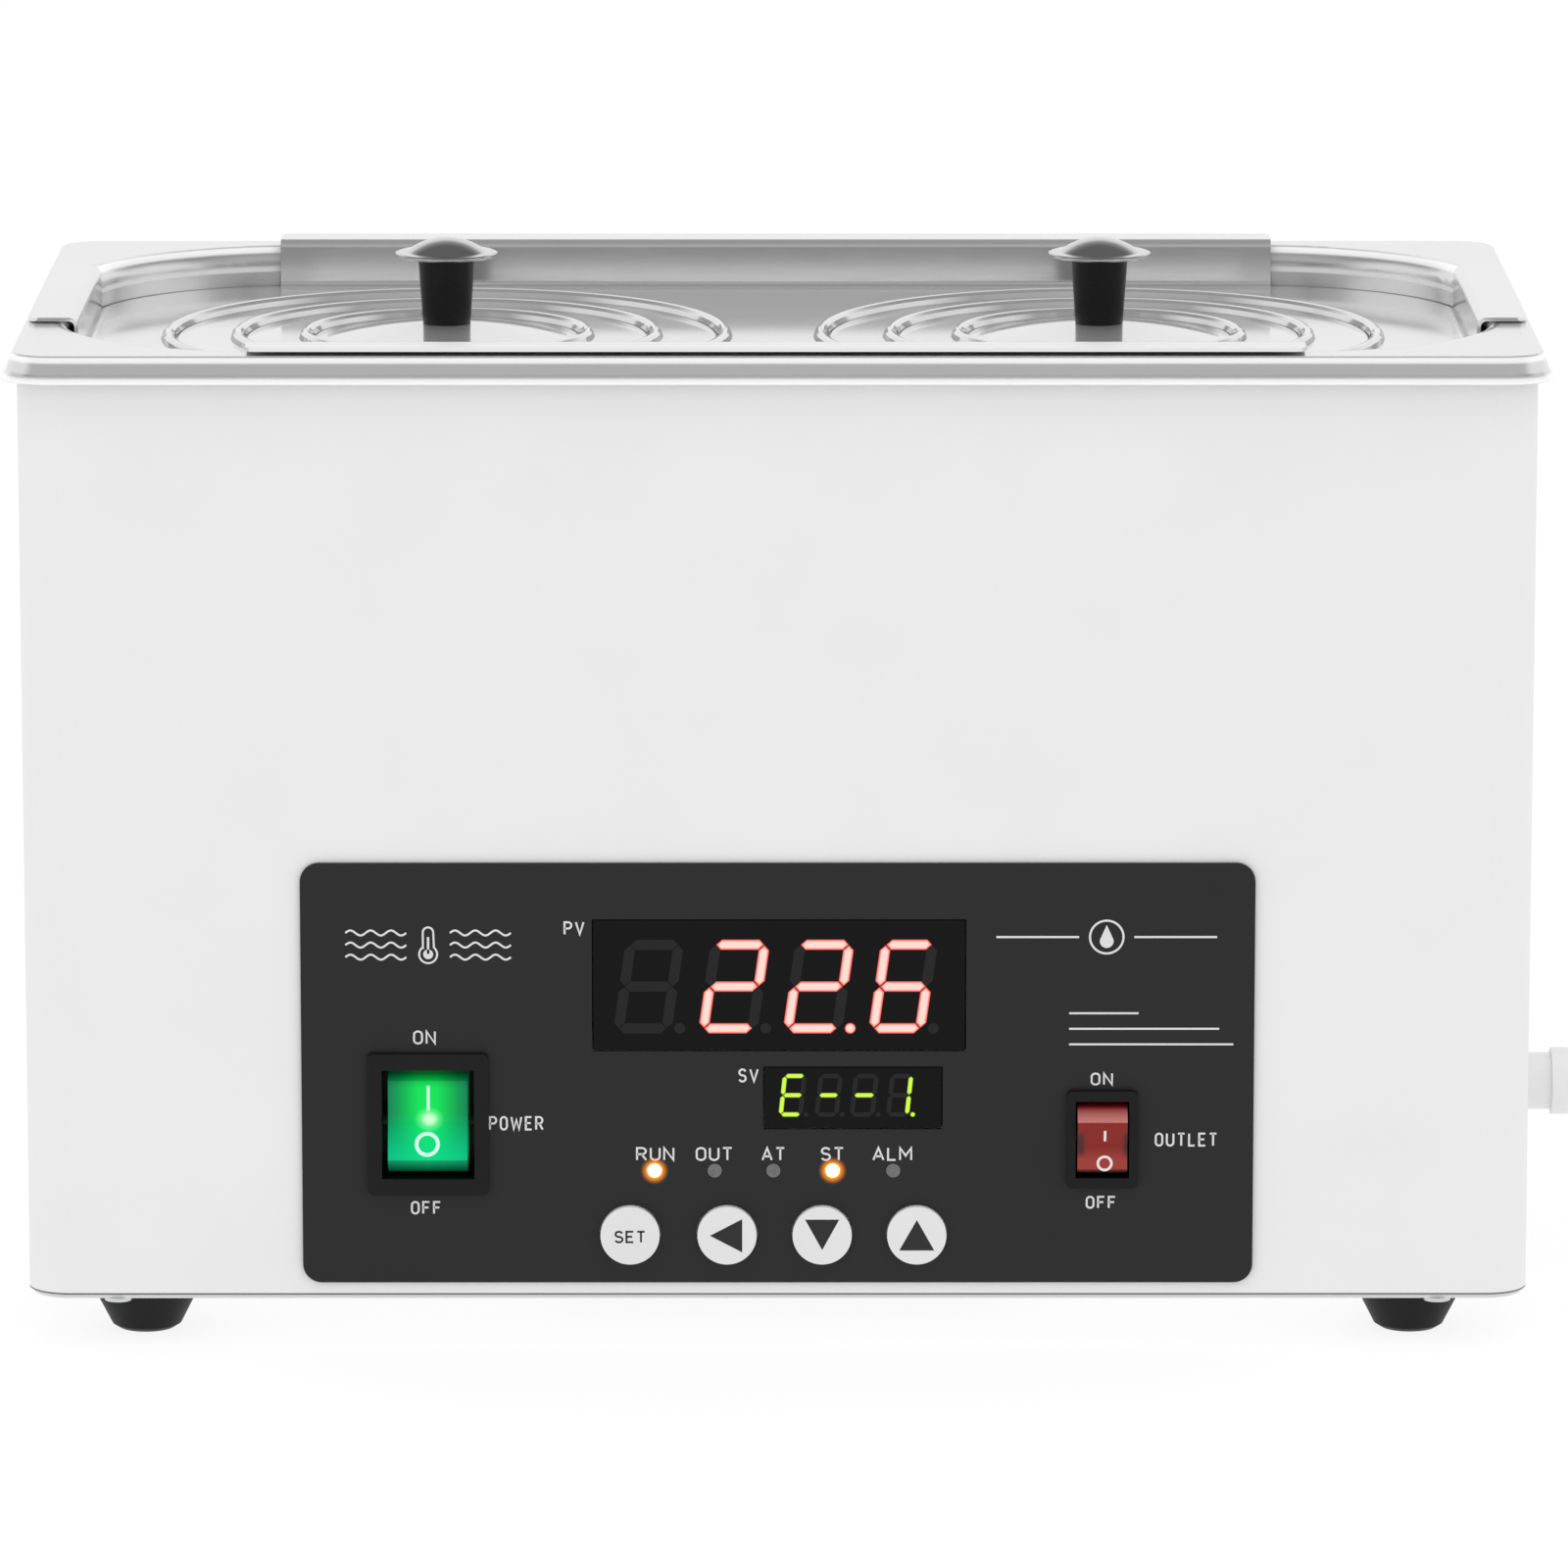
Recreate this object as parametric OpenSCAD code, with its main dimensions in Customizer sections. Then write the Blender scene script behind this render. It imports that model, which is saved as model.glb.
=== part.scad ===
// Thermostatic water bath: a pressed steel tank in a powder-coated case,
// with two ring-set openings in a lift-off cover, a controller on the front,
// a drain on the right and a mains inlet at the back.
// Millimetres. The origin is under the middle of the whole machine, on the bench.
// +Z is up, the front faces -Y, the drain points to +X.

/* [Case] */
// Width of the case over its side walls
case_w = 318; // [300:1:340]
// Depth of the case, front to back
case_d = 169; // [160:1:180]
// Height of the lower edge of the case above the bench
case_bottom = 11; // [9:0.5:14]
// Height of the upper edge of the case
case_top = 209; // [205:0.5:210]
// Thickness of the case sheet
case_sheet = 1; // [0.8:0.1:1.5]
// Radius of the upright case edges
case_corner = 9; // [6:0.5:12]
// Diameter of each foot where it meets the base plate
foot_d = 24; // [18:0.5:26]
// Diameter of the flat under each foot
foot_flat_d = 12; // [8:0.5:16]
// Distance of the feet from the middle, left and right
foot_x = 134.7; // [120:0.1:140]
// Distance of the feet from the middle, front and back
foot_y = 67; // [60:0.5:70]

/* [Tank] */
// Outside width of the tank rim
rim_w = 325; // [310:1:330]
// Outside depth of the tank rim
rim_d = 176; // [170:1:180]
// Height of the rim above the bench
rim_top = 212; // [205:0.5:220]
// How far the rim edge turns down
rim_drop = 5.8; // [4:0.1:8]
// How far the turned edge leans out
rim_lean = 2.5; // [1:0.1:3]
// Width of the bath inside its walls
bath_w = 301; // [290:1:305]
// Depth of the bath inside its walls, front to back
bath_d = 152; // [145:1:156]
// Corner radius of the bath, seen from above
bath_corner = 46; // [30:1:55]
// Depth of the water space below the rim
bath_depth = 100; // [65:1:100]
// Thickness of the tank sheet
tank_sheet = 1; // [0.8:0.1:1.5]

/* [Cover] */
// Depth of the cover plate below the rim
cover_drop = 8.7; // [6:0.1:12]
// Thickness of the cover and ring sheet
cover_sheet = 0.8; // [0.6:0.1:1.2]
// Distance of the left ring set from the middle
ring_left_x = 71.5; // [66:0.5:74]
// Distance of the right ring set from the middle
ring_right_x = 69.5; // [66:0.5:74]
// Outside radius of the bead round each opening
plate_bead_r = 61.75; // [55:0.25:63]
// Outside radius of the bead on the outer ring
outer_bead_r = 46.75; // [42:0.25:50]
// Outside radius of the bead on the inner ring
inner_bead_r = 32; // [28:0.25:36]
// Width of a bead
bead_w = 3.3; // [2.5:0.1:4]
// Height of a bead
bead_h = 1.8; // [1:0.1:2.5]
// Half length of the front and back hanging tabs
long_tab = 110.5; // [90:0.5:115]
// Sideways offset of the long hanging tabs
tab_offset = -0.4; // [-1:0.1:1]
// Clearance under the laps of the long tabs
long_tab_gap = 0.9; // [0.2:0.1:1.5]
// Lean of the long hanging tabs from upright
tab_lean = 5; // [0:0.5:10]
// Half length of the side hanging tabs
side_tab = 38.5; // [30:0.5:45]
// Rise of the centre lid's dome
lid_rise = 3.1; // [2:0.1:5]
// Height of the knob under its cap
knob_h = 14; // [10:0.1:20]

/* [Shelf and heater] */
// Height of the shelf top above the bench
shelf_top = 143.2; // [138:0.1:150]
// Diameter of the shelf holes
shelf_hole_d = 11; // [6:0.5:14]
// Outside diameter of the heating tube
heater_d = 8; // [6.5:0.1:10]
// Height of the heating tube above the bench
heater_z = 127; // [122:0.5:130]
// Distance between neighbouring heater legs
heater_pitch = 26; // [22:1:30]

/* [Front panel] */
// Width of the dark front panel
panel_w = 200.8; // [180:0.1:220]
// Height of the lower edge of the panel
panel_z0 = 13.9; // [12:0.1:20]
// Height of the upper edge of the panel
panel_z1 = 104.4; // [95:0.1:110]
// Thickness of the panel
panel_t = 1; // [0.5:0.1:2]
// Diameter of the push buttons
button_d = 12.5; // [10:0.1:14]
// Height of the row of push buttons
button_z = 24.4; // [22:0.1:28]
// Travel of the push buttons
button_travel = 0.8; // [0.4:0.1:1.2]
// Half swing of the rockers
rocker_tilt = 10; // [8:1:14]

/* [Drain and inlet] */
// Height of the drain spout's axis
spout_z = 38.3; // [35:0.1:45]
// Distance of the spout's tip from the middle of the case
spout_tip = 187.5; // [180:0.5:200]
// Bore of the drain
drain_bore = 8; // [6:0.5:9]
// Distance of the mains inlet from the middle of the case
inlet_x = -95; // [-110:1:-60]
// Height of the mains inlet
inlet_z = 44; // [40:1:60]

/* [Hidden] */
$fn = 48;

steel = [0.80, 0.81, 0.82];
white = [0.93, 0.93, 0.93];
dark = [0.13, 0.13, 0.14];
black = [0.05, 0.05, 0.05];
brass = [0.78, 0.62, 0.28];
green_board = [0.05, 0.30, 0.14];

// The machine is shifted so that the origin is under the middle of its whole outline.
front_reach = 90.55;
shift_x = -(spout_tip - rim_w / 2) / 2;
shift_y = (front_reach - rim_d / 2) / 2;

half_w = case_w / 2;
half_d = case_d / 2;
base_t = 1;
base_z = case_bottom;
foot_h = case_bottom - base_t;
foot_edge = 1.4;
flat_w = rim_w - 2 * rim_lean;
flat_d = rim_d - 2 * rim_lean;
rim_corner = 8.5;
shoulder_r = 4;
floor_r = 8;
floor_z = rim_top - bath_depth;
plate_z = rim_top - cover_drop;
front_y = -half_d;
inner_front_y = front_y + case_sheet;
back_y = half_d;
inner_back_y = half_d - case_sheet;
panel_y = front_y - panel_t;
bezel_y = panel_y - 1.5;
board_y = -70;
board_t = 1.6;
bed_gap = 0.3;
tab_bend = 2;
tab_corner = 2.5;
ring_spots = [-ring_left_x, ring_right_x];
seat_w = 4.95;
seat_top = -cover_sheet - bed_gap;
ring_gap = 0.4;
dome_r = 26;
lid_r = inner_bead_r - bead_w - ring_gap;
dome_curve = (dome_r * dome_r + lid_rise * lid_rise) / (2 * lid_rise);
knob_z = plate_z + lid_rise;
cap_z = knob_z + knob_h;
cap_rise = 4.5;
cap_dome_r = 13.7;

heater_left = -95;
heater_right = 88;
heater_drop_x = -124;
heater_drop_r = 12;
drain_x = 125;
probe_x = -131;

pv_x = 0.3;
pv_z = 78.2;
pv_w = 78.2;
pv_h = 27.8;
sv_x = 15.85;
sv_z = 53.9;
sv_w = 37.3;
sv_h = 13;
lamp_z = 38.2;
lamp_x = [-26, -13.3, -0.9, 11.6, 24.4];
lamp_r = 1.5;
button_x = [-31.2, -10.7, 9.4, 29.4];

// Power switch: centre, bezel, opening, rocker radius and front height
power_x = -73.75;
power_z = 48.4;
power_bezel = [25.5, 30.5];
power_hole = [19.5, 23.5];
power_body = [21.7, 27.6];
power_gap = 1.35;
power_r = 10.9;
power_p = 5.4;
power_back = 3;
// Outlet switch, the same way
outlet_x = 68.5;
outlet_z = 45.1;
outlet_bezel = [15, 21];
outlet_hole = [11.3, 16.6];
outlet_body = [13.4, 19];
outlet_gap = 0.4;
outlet_r = 8;
outlet_p = 5;
outlet_back = 2.6;
pin_r = 1.5;
pin_clear = 0.05;
pin_reach = 0.85;

// Mains inlet: flange, body and socket sizes
flange_w = 50;
flange_h = 36;
flange_t = 2.5;
inlet_body_w = 27.6;
inlet_body_h = 32.4;
inlet_depth = 24;
socket_w = 24.4;
socket_h = 16.6;
socket_depth = 17;
socket_up = 5.4;
drawer_w = 23.4;
drawer_h = 7.4;
drawer_down = -10.6;
drawer_depth = 18;
fuse_r = 2.6;
inlet_screw_x = 20;

base_screw_spots = [
    [-153, 45], [-153, -45], [153, 45], [153, -45],
    [-70, 78.5], [70, 78.5], [-139.8, -81.2], [139.8, -81.2]
];
shelf_leg_x = 120;
shelf_leg_y = 55;
board_post_x = 42.8;
board_post_z = [18.6, 97];

// ---------- shared shapes ----------

module in_place() {
    translate([shift_x, shift_y, 0]) children();
}

module rounded_rect(w, d, r) {
    square([w - 2 * r, d], center = true);
    square([w, d - 2 * r], center = true);
    for (x = [-1, 1], y = [-1, 1])
        translate([x * (w / 2 - r), y * (d / 2 - r)]) circle(r);
}

// Sweeps a profile round a rounded rectangle. The profile's x is the distance
// outside the path and its y is the height.
module frame_sweep(w, d, r) {
    for (side = [0, 180]) rotate([0, 0, side]) {
        translate([w / 2, (d - 2 * r) / 2, 0])
            rotate([90, 0, 0]) linear_extrude(d - 2 * r) children();
        translate([-(w - 2 * r) / 2, d / 2, 0])
            rotate([90, 0, 90]) linear_extrude(w - 2 * r) children();
        translate([w / 2 - r, d / 2 - r, 0])
            rotate_extrude(angle = 90, $fn = 64) translate([r, 0]) children();
        translate([-(w / 2 - r), d / 2 - r, 0])
            rotate([0, 0, 90]) rotate_extrude(angle = 90, $fn = 64) translate([r, 0]) children();
    }
}

// A wall of sheet round a rounded rectangle
module wall(w, d, r, t, h) {
    linear_extrude(h) difference() {
        rounded_rect(w, d, r);
        rounded_rect(w - 2 * t, d - 2 * t, max(r - t, 0.5));
    }
}

// Shapes drawn looking at the front: x stays, y becomes height, and the
// extrusion runs from y0 back to y1.
module facing(y0, y1) {
    translate([0, y1, 0]) rotate([90, 0, 0]) linear_extrude(y1 - y0) children();
}

module rod(r, length) {
    cylinder(r = r, h = length);
}

module hex_nut(across, bore_r, h) {
    difference() {
        cylinder(r = across / 2 / cos(30), h = h, $fn = 6);
        translate([0, 0, -1]) cylinder(r = bore_r, h = h + 2);
    }
}

function unit(v) = v / norm(v);

// A wire through a list of points, with a ring of corners at each of them
module wire(points, r) {
    sides = 10;
    last = len(points) - 1;
    aside = unit([1, 0.9, 1.1]);
    corners = [for (i = [0 : last])
        let (way = unit(points[min(i + 1, last)] - points[max(i - 1, 0)]))
        let (u = unit(cross(way, aside)))
        let (v = cross(way, u))
        for (k = [0 : sides - 1])
            points[i] + r * (cos(360 * k / sides) * u + sin(360 * k / sides) * v)];
    first_end = [for (k = [0 : sides - 1]) k];
    second_end = [for (k = [sides - 1 : -1 : 0]) last * sides + k];
    walls = [for (i = [0 : last - 1], k = [0 : sides - 1])
        let (n = (k + 1) % sides)
        for (three = [[i * sides + k, (i + 1) * sides + k, (i + 1) * sides + n],
            [i * sides + k, (i + 1) * sides + n, i * sides + n]]) three];
    polyhedron(corners, concat([first_end, second_end], walls));
}

// ---------- case ----------

module front_openings() {
    translate([pv_x, pv_z]) square([pv_w + 0.6, pv_h + 0.6], center = true);
    translate([sv_x, sv_z]) square([sv_w + 0.6, sv_h + 0.6], center = true);
    for (x = lamp_x) translate([x, lamp_z]) circle(lamp_r + 0.1);
    for (x = button_x) translate([x, button_z]) circle(button_d / 2 + 0.3);
    translate([power_x, power_z]) square([power_body[0] + 0.4, power_body[1] + 0.4], center = true);
    translate([outlet_x, outlet_z])
        square([outlet_body[0] + 0.4, outlet_body[1] + 0.4], center = true);
}

module outer_case() in_place() color(white) difference() {
    union() {
        translate([0, 0, case_bottom])
            wall(case_w, case_d, case_corner, case_sheet, case_top - case_bottom);
        translate([0, 0, case_bottom])
            wall(case_w, case_d, case_corner, 11, case_sheet);
        translate([0, 0, case_top - case_sheet])
            wall(case_w, case_d, case_corner, 6, case_sheet);
    }
    facing(front_y - 1, inner_front_y + 1) front_openings();
    facing(inner_back_y - 1, back_y + 1) translate([inlet_x, inlet_z]) {
        square([inlet_body_w + 0.6, inlet_body_h + 0.6], center = true);
        for (x = [-1, 1]) translate([x * inlet_screw_x, 0]) circle(1.7);
    }
    translate([half_w - 3, 0, spout_z]) rotate([0, 90, 0]) cylinder(r = 6.35, h = 6);
    for (p = base_screw_spots) translate([p[0], p[1], base_z - 1]) cylinder(r = 1.6, h = 4);
    for (i = [0 : 8])
        facing(inner_back_y - 1, back_y + 1) translate([20 + i * 12, 60]) {
            square([4, 40], center = true);
            translate([0, 20]) circle(2);
            translate([0, -20]) circle(2);
        }
}

module base_plate() in_place() color(white) translate([0, 0, base_z - base_t])
    linear_extrude(base_t) difference() {
        rounded_rect(case_w - 2, case_d - 2, case_corner - 1);
        for (x = [-foot_x, foot_x], y = [-foot_y, foot_y]) translate([x, y]) circle(2.2);
        for (p = base_screw_spots) translate(p) circle(1.6);
        for (i = [0 : 7]) translate([-42 + i * 12, -35]) {
            square([4, 40], center = true);
            translate([0, 20]) circle(2);
            translate([0, -20]) circle(2);
        }
    }

module foot(x, y) in_place() color(black) translate([x, y, 0]) difference() {
    rotate_extrude($fn = 64) polygon([
        [0, 0], [foot_flat_d / 2, 0], [foot_flat_d / 2 + foot_edge, 0.9],
        [foot_d / 2, foot_h], [0, foot_h]
    ]);
    translate([0, 0, foot_h - 5]) cylinder(r = 2.05, h = 6);
}

module foot_front_left() foot(-foot_x, -foot_y);
module foot_front_right() foot(foot_x, -foot_y);
module foot_back_left() foot(-foot_x, foot_y);
module foot_back_right() foot(foot_x, foot_y);

module foot_studs() in_place() color(steel)
    for (x = [-foot_x, foot_x], y = [-foot_y, foot_y]) translate([x, y, 0]) {
        translate([0, 0, foot_h - 4.9]) rod(2, 11);
        translate([0, 0, base_z]) hex_nut(7, 2, 3.2);
    }

module base_screws() in_place() color(steel) for (p = base_screw_spots)
    translate([p[0], p[1], 0]) {
        translate([0, 0, base_z - base_t - 0.8]) rod(2.9, 0.8);
        translate([0, 0, base_z - base_t]) rod(1.5, 6);
    }

// ---------- tank ----------

module tank_profile() {
    translate([0, floor_z + floor_r])
        square([tank_sheet, rim_top - shoulder_r - floor_z - floor_r]);
    translate([shoulder_r, rim_top - shoulder_r]) intersection() {
        difference() {
            circle(shoulder_r);
            circle(shoulder_r - tank_sheet);
        }
        translate([-shoulder_r, 0]) square(shoulder_r);
    }
    translate([shoulder_r, rim_top - tank_sheet]) square([1, tank_sheet]);
    translate([-floor_r, floor_z + floor_r]) intersection() {
        difference() {
            circle(floor_r + tank_sheet);
            circle(floor_r);
        }
        translate([0, -floor_r - tank_sheet]) square(floor_r + tank_sheet);
    }
    translate([-floor_r - 1, floor_z - tank_sheet]) square([1, tank_sheet]);
}

module skirt_profile() {
    low = rim_top - rim_drop;
    polygon([
        [-1.5, rim_top - tank_sheet], [-1.5, rim_top], [-0.7, rim_top], [-0.25, rim_top - 0.1],
        [0.1, rim_top - 0.35], [0.3, rim_top - 0.75], [rim_lean - 1.3, low + 2.1],
        [rim_lean - 1, low + 1.55], [rim_lean - 0.55, low + 1.15], [rim_lean - 0.12, low + 0.9],
        [rim_lean, low + 0.65], [rim_lean, low + 0.35], [rim_lean - 0.15, low + 0.1],
        [rim_lean - 0.4, low], [rim_lean - 1.2, low], [rim_lean - 1.7, low + 0.5],
        [rim_lean - 2.2, low + 1.9], [-0.75, rim_top - tank_sheet - 0.2], [-0.95, rim_top - tank_sheet]
    ]);
}

module tank() in_place() color(steel) difference() {
    union() {
        frame_sweep(bath_w, bath_d, bath_corner) tank_profile();
        translate([0, 0, floor_z - tank_sheet]) linear_extrude(tank_sheet)
            rounded_rect(bath_w - 2 * floor_r, bath_d - 2 * floor_r, bath_corner - floor_r);
        translate([0, 0, rim_top - tank_sheet]) linear_extrude(tank_sheet) difference() {
            rounded_rect(flat_w - 1, flat_d - 1, rim_corner - 0.5);
            rounded_rect(bath_w + 2 * shoulder_r + 1, bath_d + 2 * shoulder_r + 1,
                bath_corner + shoulder_r + 0.5);
        }
        frame_sweep(flat_w, flat_d, rim_corner) skirt_profile();
    }
    for (y = [-1.5, 1.5]) translate([heater_drop_x, y * heater_pitch, floor_z - 5])
        cylinder(r = 6.1, h = 10);
    translate([probe_x, 0, floor_z - 5]) cylinder(r = 6.1, h = 10);
    translate([drain_x, 0, floor_z - 5]) cylinder(r = 7.1, h = 10);
}

module rim_gasket() in_place() color([0.2, 0.2, 0.2]) translate([0, 0, case_top])
    linear_extrude(rim_top - tank_sheet - case_top) difference() {
        rounded_rect(case_w - 2, case_d - 2, case_corner - 1);
        rounded_rect(case_w - 8.2, case_d - 8.2, 20);
    }

module tank_jacket() in_place() color([0.85, 0.83, 0.78]) translate([0, 0, floor_z + 6])
    linear_extrude(rim_top - floor_z - 13) difference() {
        rounded_rect(bath_w + 10.6, bath_d + 10.6, bath_corner + 5.3);
        rounded_rect(bath_w + 2.6, bath_d + 2.6, bath_corner + 1.3);
    }

// ---------- heater, probe and drain ----------

module heater_bend(x, y, side) {
    translate([x, y, heater_z]) rotate([0, 0, side > 0 ? -90 : 90])
        rotate_extrude(angle = 180, $fn = 64) translate([heater_pitch / 2, 0])
            circle(heater_d / 2, $fn = 32);
}

module heater_tube() in_place() color([0.62, 0.62, 0.63]) {
    for (y = [-1.5, -0.5, 0.5, 1.5]) {
        start = abs(y) > 1 ? heater_drop_x + heater_drop_r : heater_left;
        translate([start, y * heater_pitch, heater_z])
            rotate([0, 90, 0]) cylinder(r = heater_d / 2, h = heater_right - start, $fn = 32);
    }
    heater_bend(heater_right, -heater_pitch, 1);
    heater_bend(heater_right, heater_pitch, 1);
    heater_bend(heater_left, 0, -1);
    for (y = [-1.5, 1.5]) {
        translate([heater_drop_x + heater_drop_r, y * heater_pitch, heater_z - heater_drop_r])
            rotate([90, 0, 0]) rotate([0, 0, 90])
                rotate_extrude(angle = 90, $fn = 64) translate([heater_drop_r, 0])
                    circle(heater_d / 2, $fn = 32);
        translate([heater_drop_x, y * heater_pitch, 96])
            cylinder(r = heater_d / 2, h = heater_z - heater_drop_r - 96, $fn = 32);
        translate([heater_drop_x, y * heater_pitch, 90]) cylinder(r = 2, h = 6.1, $fn = 24);
    }
}

// Gland with a hexagon above the floor, a thread through it and a nut below
module gland(bore_r) {
    difference() {
        union() {
            translate([0, 0, floor_z]) cylinder(r = 16 / 2 / cos(30), h = 4, $fn = 6);
            translate([0, 0, floor_z - 9]) cylinder(r = 6, h = 10);
            translate([0, 0, floor_z - tank_sheet - 4]) cylinder(r = 16 / 2 / cos(30), h = 4, $fn = 6);
        }
        translate([0, 0, floor_z - 20]) cylinder(r = bore_r, h = 40);
    }
}

module floor_glands() in_place() color(brass) {
    for (y = [-1.5, 1.5]) translate([heater_drop_x, y * heater_pitch, 0]) gland(heater_d / 2);
    translate([probe_x, 0, 0]) gland(3);
}

module temperature_probe() in_place() color(steel) translate([probe_x, 0, 0]) {
    translate([0, 0, 97]) cylinder(r = 3, h = 38);
    translate([0, 0, 135]) sphere(r = 3);
}

module thermal_cutout() in_place() color([0.75, 0.72, 0.62]) translate([-60, 30, 0]) {
    translate([0, 0, floor_z - tank_sheet - 1.2]) linear_extrude(1.2) {
        square([28, 8], center = true);
        circle(9);
    }
    translate([0, 0, floor_z - tank_sheet - 9]) cylinder(r = 8, h = 8);
    for (y = [-3.5, 3.5]) translate([-3, y - 0.4, floor_z - tank_sheet - 16]) cube([6, 0.8, 8]);
}

module drain_fitting() in_place() color([0.9, 0.9, 0.9]) translate([drain_x, 0, 0]) difference() {
    union() {
        translate([0, 0, floor_z]) cylinder(r = 13, h = 1.5);
        translate([0, 0, floor_z - 10]) cylinder(r = 7, h = 11);
        translate([0, 0, floor_z - 28]) cylinder(r = 5.5, h = 20);
        translate([0, 0, floor_z - 28]) cylinder(r1 = 5.5, r2 = 6, h = 4);
    }
    translate([0, 0, floor_z - 40]) cylinder(r = drain_bore / 2, h = 60);
}

module drain_nuts() in_place() color([0.9, 0.9, 0.9]) {
    translate([drain_x, 0, floor_z - tank_sheet - 5]) hex_nut(22, 7, 5);
    translate([half_w - case_sheet - 5, 0, spout_z]) rotate([0, 90, 0]) hex_nut(20, 6.25, 5);
}

module drain_hose_upper() in_place() color([0.93, 0.93, 0.90]) translate([drain_x, 0, 61])
    difference() {
        cylinder(r = 8, h = 40);
        translate([0, 0, -1]) cylinder(r = 6.02, h = 42);
    }

module drain_valve() in_place() color(brass) difference() {
    union() {
        translate([drain_x, 0, 52]) cylinder(r = 6, h = 18);
        translate([drain_x - 14, -13, spout_z - 14]) cube([26, 26, 28]);
        translate([drain_x, 0, spout_z]) rotate([0, 90, 0]) cylinder(r = 5.5, h = 18);
    }
    translate([drain_x, 0, spout_z]) cylinder(r = drain_bore / 2, h = 60);
    translate([drain_x, 0, spout_z]) sphere(r = drain_bore / 2);
    translate([drain_x, 0, spout_z]) rotate([0, 90, 0]) cylinder(r = drain_bore / 2, h = 60);
}

module valve_coil() in_place() color(dark) {
    translate([drain_x - 44, -12, spout_z - 12]) cube([30, 24, 24]);
    translate([drain_x - 48, 0, spout_z]) rotate([0, 90, 0]) cylinder(r = 5, h = 5);
    for (y = [-5, 5]) translate([drain_x - 36, y - 0.4, spout_z + 12]) cube([6, 0.8, 8]);
}

module drain_hose_lower() in_place() color([0.93, 0.93, 0.90])
    translate([drain_x + 12.3, 0, spout_z]) rotate([0, 90, 0]) difference() {
        cylinder(r = 7.5, h = 14);
        translate([0, 0, -1]) cylinder(r = 5.52, h = 16);
    }

module drain_spout() in_place() color([0.92, 0.92, 0.91]) translate([0, 0, spout_z])
    rotate([0, 90, 0]) difference() {
        union() {
            translate([0, 0, 144.5]) cylinder(r = 5.5, h = 8);
            translate([0, 0, 152]) cylinder(r = 6.25, h = half_w - 152 + 10.5);
            translate([0, 0, half_w]) cylinder(r = 8.5, h = 1.6);
            translate([0, 0, half_w + 10.5]) cylinder(r = 7.35, h = 3.2);
            translate([0, 0, half_w + 13.7])
                cylinder(r1 = 7.35, r2 = 5.6, h = spout_tip - half_w - 13.7);
        }
        translate([0, 0, 140]) cylinder(r = drain_bore / 2 + 0.5, h = half_w - 139);
        translate([0, 0, 140]) cylinder(r = drain_bore / 2, h = 60);
    }

// ---------- front panel ----------

module fascia_panel() in_place() color(dark) facing(panel_y, front_y) difference() {
    translate([0, (panel_z0 + panel_z1) / 2]) rounded_rect(panel_w, panel_z1 - panel_z0, 4);
    front_openings();
}

module pv_display() in_place() color([0.08, 0.08, 0.08]) facing(panel_y + 0.3, board_y)
    translate([pv_x, pv_z]) square([pv_w, pv_h], center = true);

module sv_display() in_place() color([0.08, 0.08, 0.08]) facing(panel_y + 0.3, board_y)
    translate([sv_x, sv_z]) square([sv_w, sv_h], center = true);

module indicator_lamps() in_place() color([0.8, 0.7, 0.5]) for (x = lamp_x) {
    facing(panel_y - 0.1, board_y) translate([x, lamp_z]) circle(lamp_r, $fn = 32);
    facing(inner_front_y + 3, board_y) translate([x, lamp_z]) circle(lamp_r + 0.6, $fn = 32);
}

module controller_board() in_place() color(green_board) {
    facing(board_y, board_y + board_t) difference() {
        translate([0, (board_post_z[0] + board_post_z[1]) / 2]) square([96, 86], center = true);
        for (x = [-board_post_x, board_post_x], z = board_post_z) translate([x, z]) circle(1.6);
    }
    facing(board_y + board_t, board_y + 8) translate([-25, 52]) square([14, 14], center = true);
    facing(board_y + board_t, board_y + 14) translate([24, 30]) square([30, 9], center = true);
    facing(board_y + board_t, board_y + 14) translate([-20, 84]) square([24, 9], center = true);
}

module board_standoffs() in_place() color(steel)
    for (x = [-board_post_x, board_post_x], z = board_post_z) {
        facing(inner_front_y, board_y) translate([x, z]) circle(3.2, $fn = 6);
        facing(board_y - 1, board_y + board_t) translate([x, z]) circle(1.5);
        facing(board_y + board_t, board_y + board_t + 2.4) translate([x, z]) circle(2.8);
    }

module key_switches() in_place() color(dark) for (x = button_x) {
    facing(-74, board_y) translate([x, button_z]) square([6, 6], center = true);
    facing(-79.6, -73) translate([x, button_z]) circle(1.75, $fn = 24);
}

module button(x) in_place() color([0.9, 0.9, 0.9]) {
    facing(panel_y - 1.5, inner_front_y + 0.6) translate([x, button_z]) circle(button_d / 2, $fn = 96);
    facing(inner_front_y + 0.4, inner_front_y + 1.4) translate([x, button_z])
        circle(button_d / 2 + 1, $fn = 64);
    facing(inner_front_y + 1, -80.8) translate([x, button_z]) circle(2.5, $fn = 32);
}

module set_button() button(button_x[0]);
module shift_button() button(button_x[1]);
module down_button() button(button_x[2]);
module up_button() button(button_x[3]);

// ---------- rocker switches ----------

function pivot_y(p) = bezel_y + p * cos(rocker_tilt);

module switch_housing(x, z, bezel, hole, body, pivot, back) in_place() color(dark)
    translate([x, 0, z]) difference() {
        union() {
            facing(bezel_y, panel_y) rounded_rect(bezel[0], bezel[1], 1.2);
            facing(panel_y - 0.5, back) square(body, center = true);
        }
        facing(bezel_y - 1, back - 2) square(hole, center = true);
        translate([-body[0], pivot, 0]) rotate([0, 90, 0])
            cylinder(r = pin_r + pin_clear, h = 2 * body[0]);
    }

module power_switch_housing()
    switch_housing(power_x, power_z, power_bezel, power_hole, power_body, pivot_y(power_p), -74);

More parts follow.
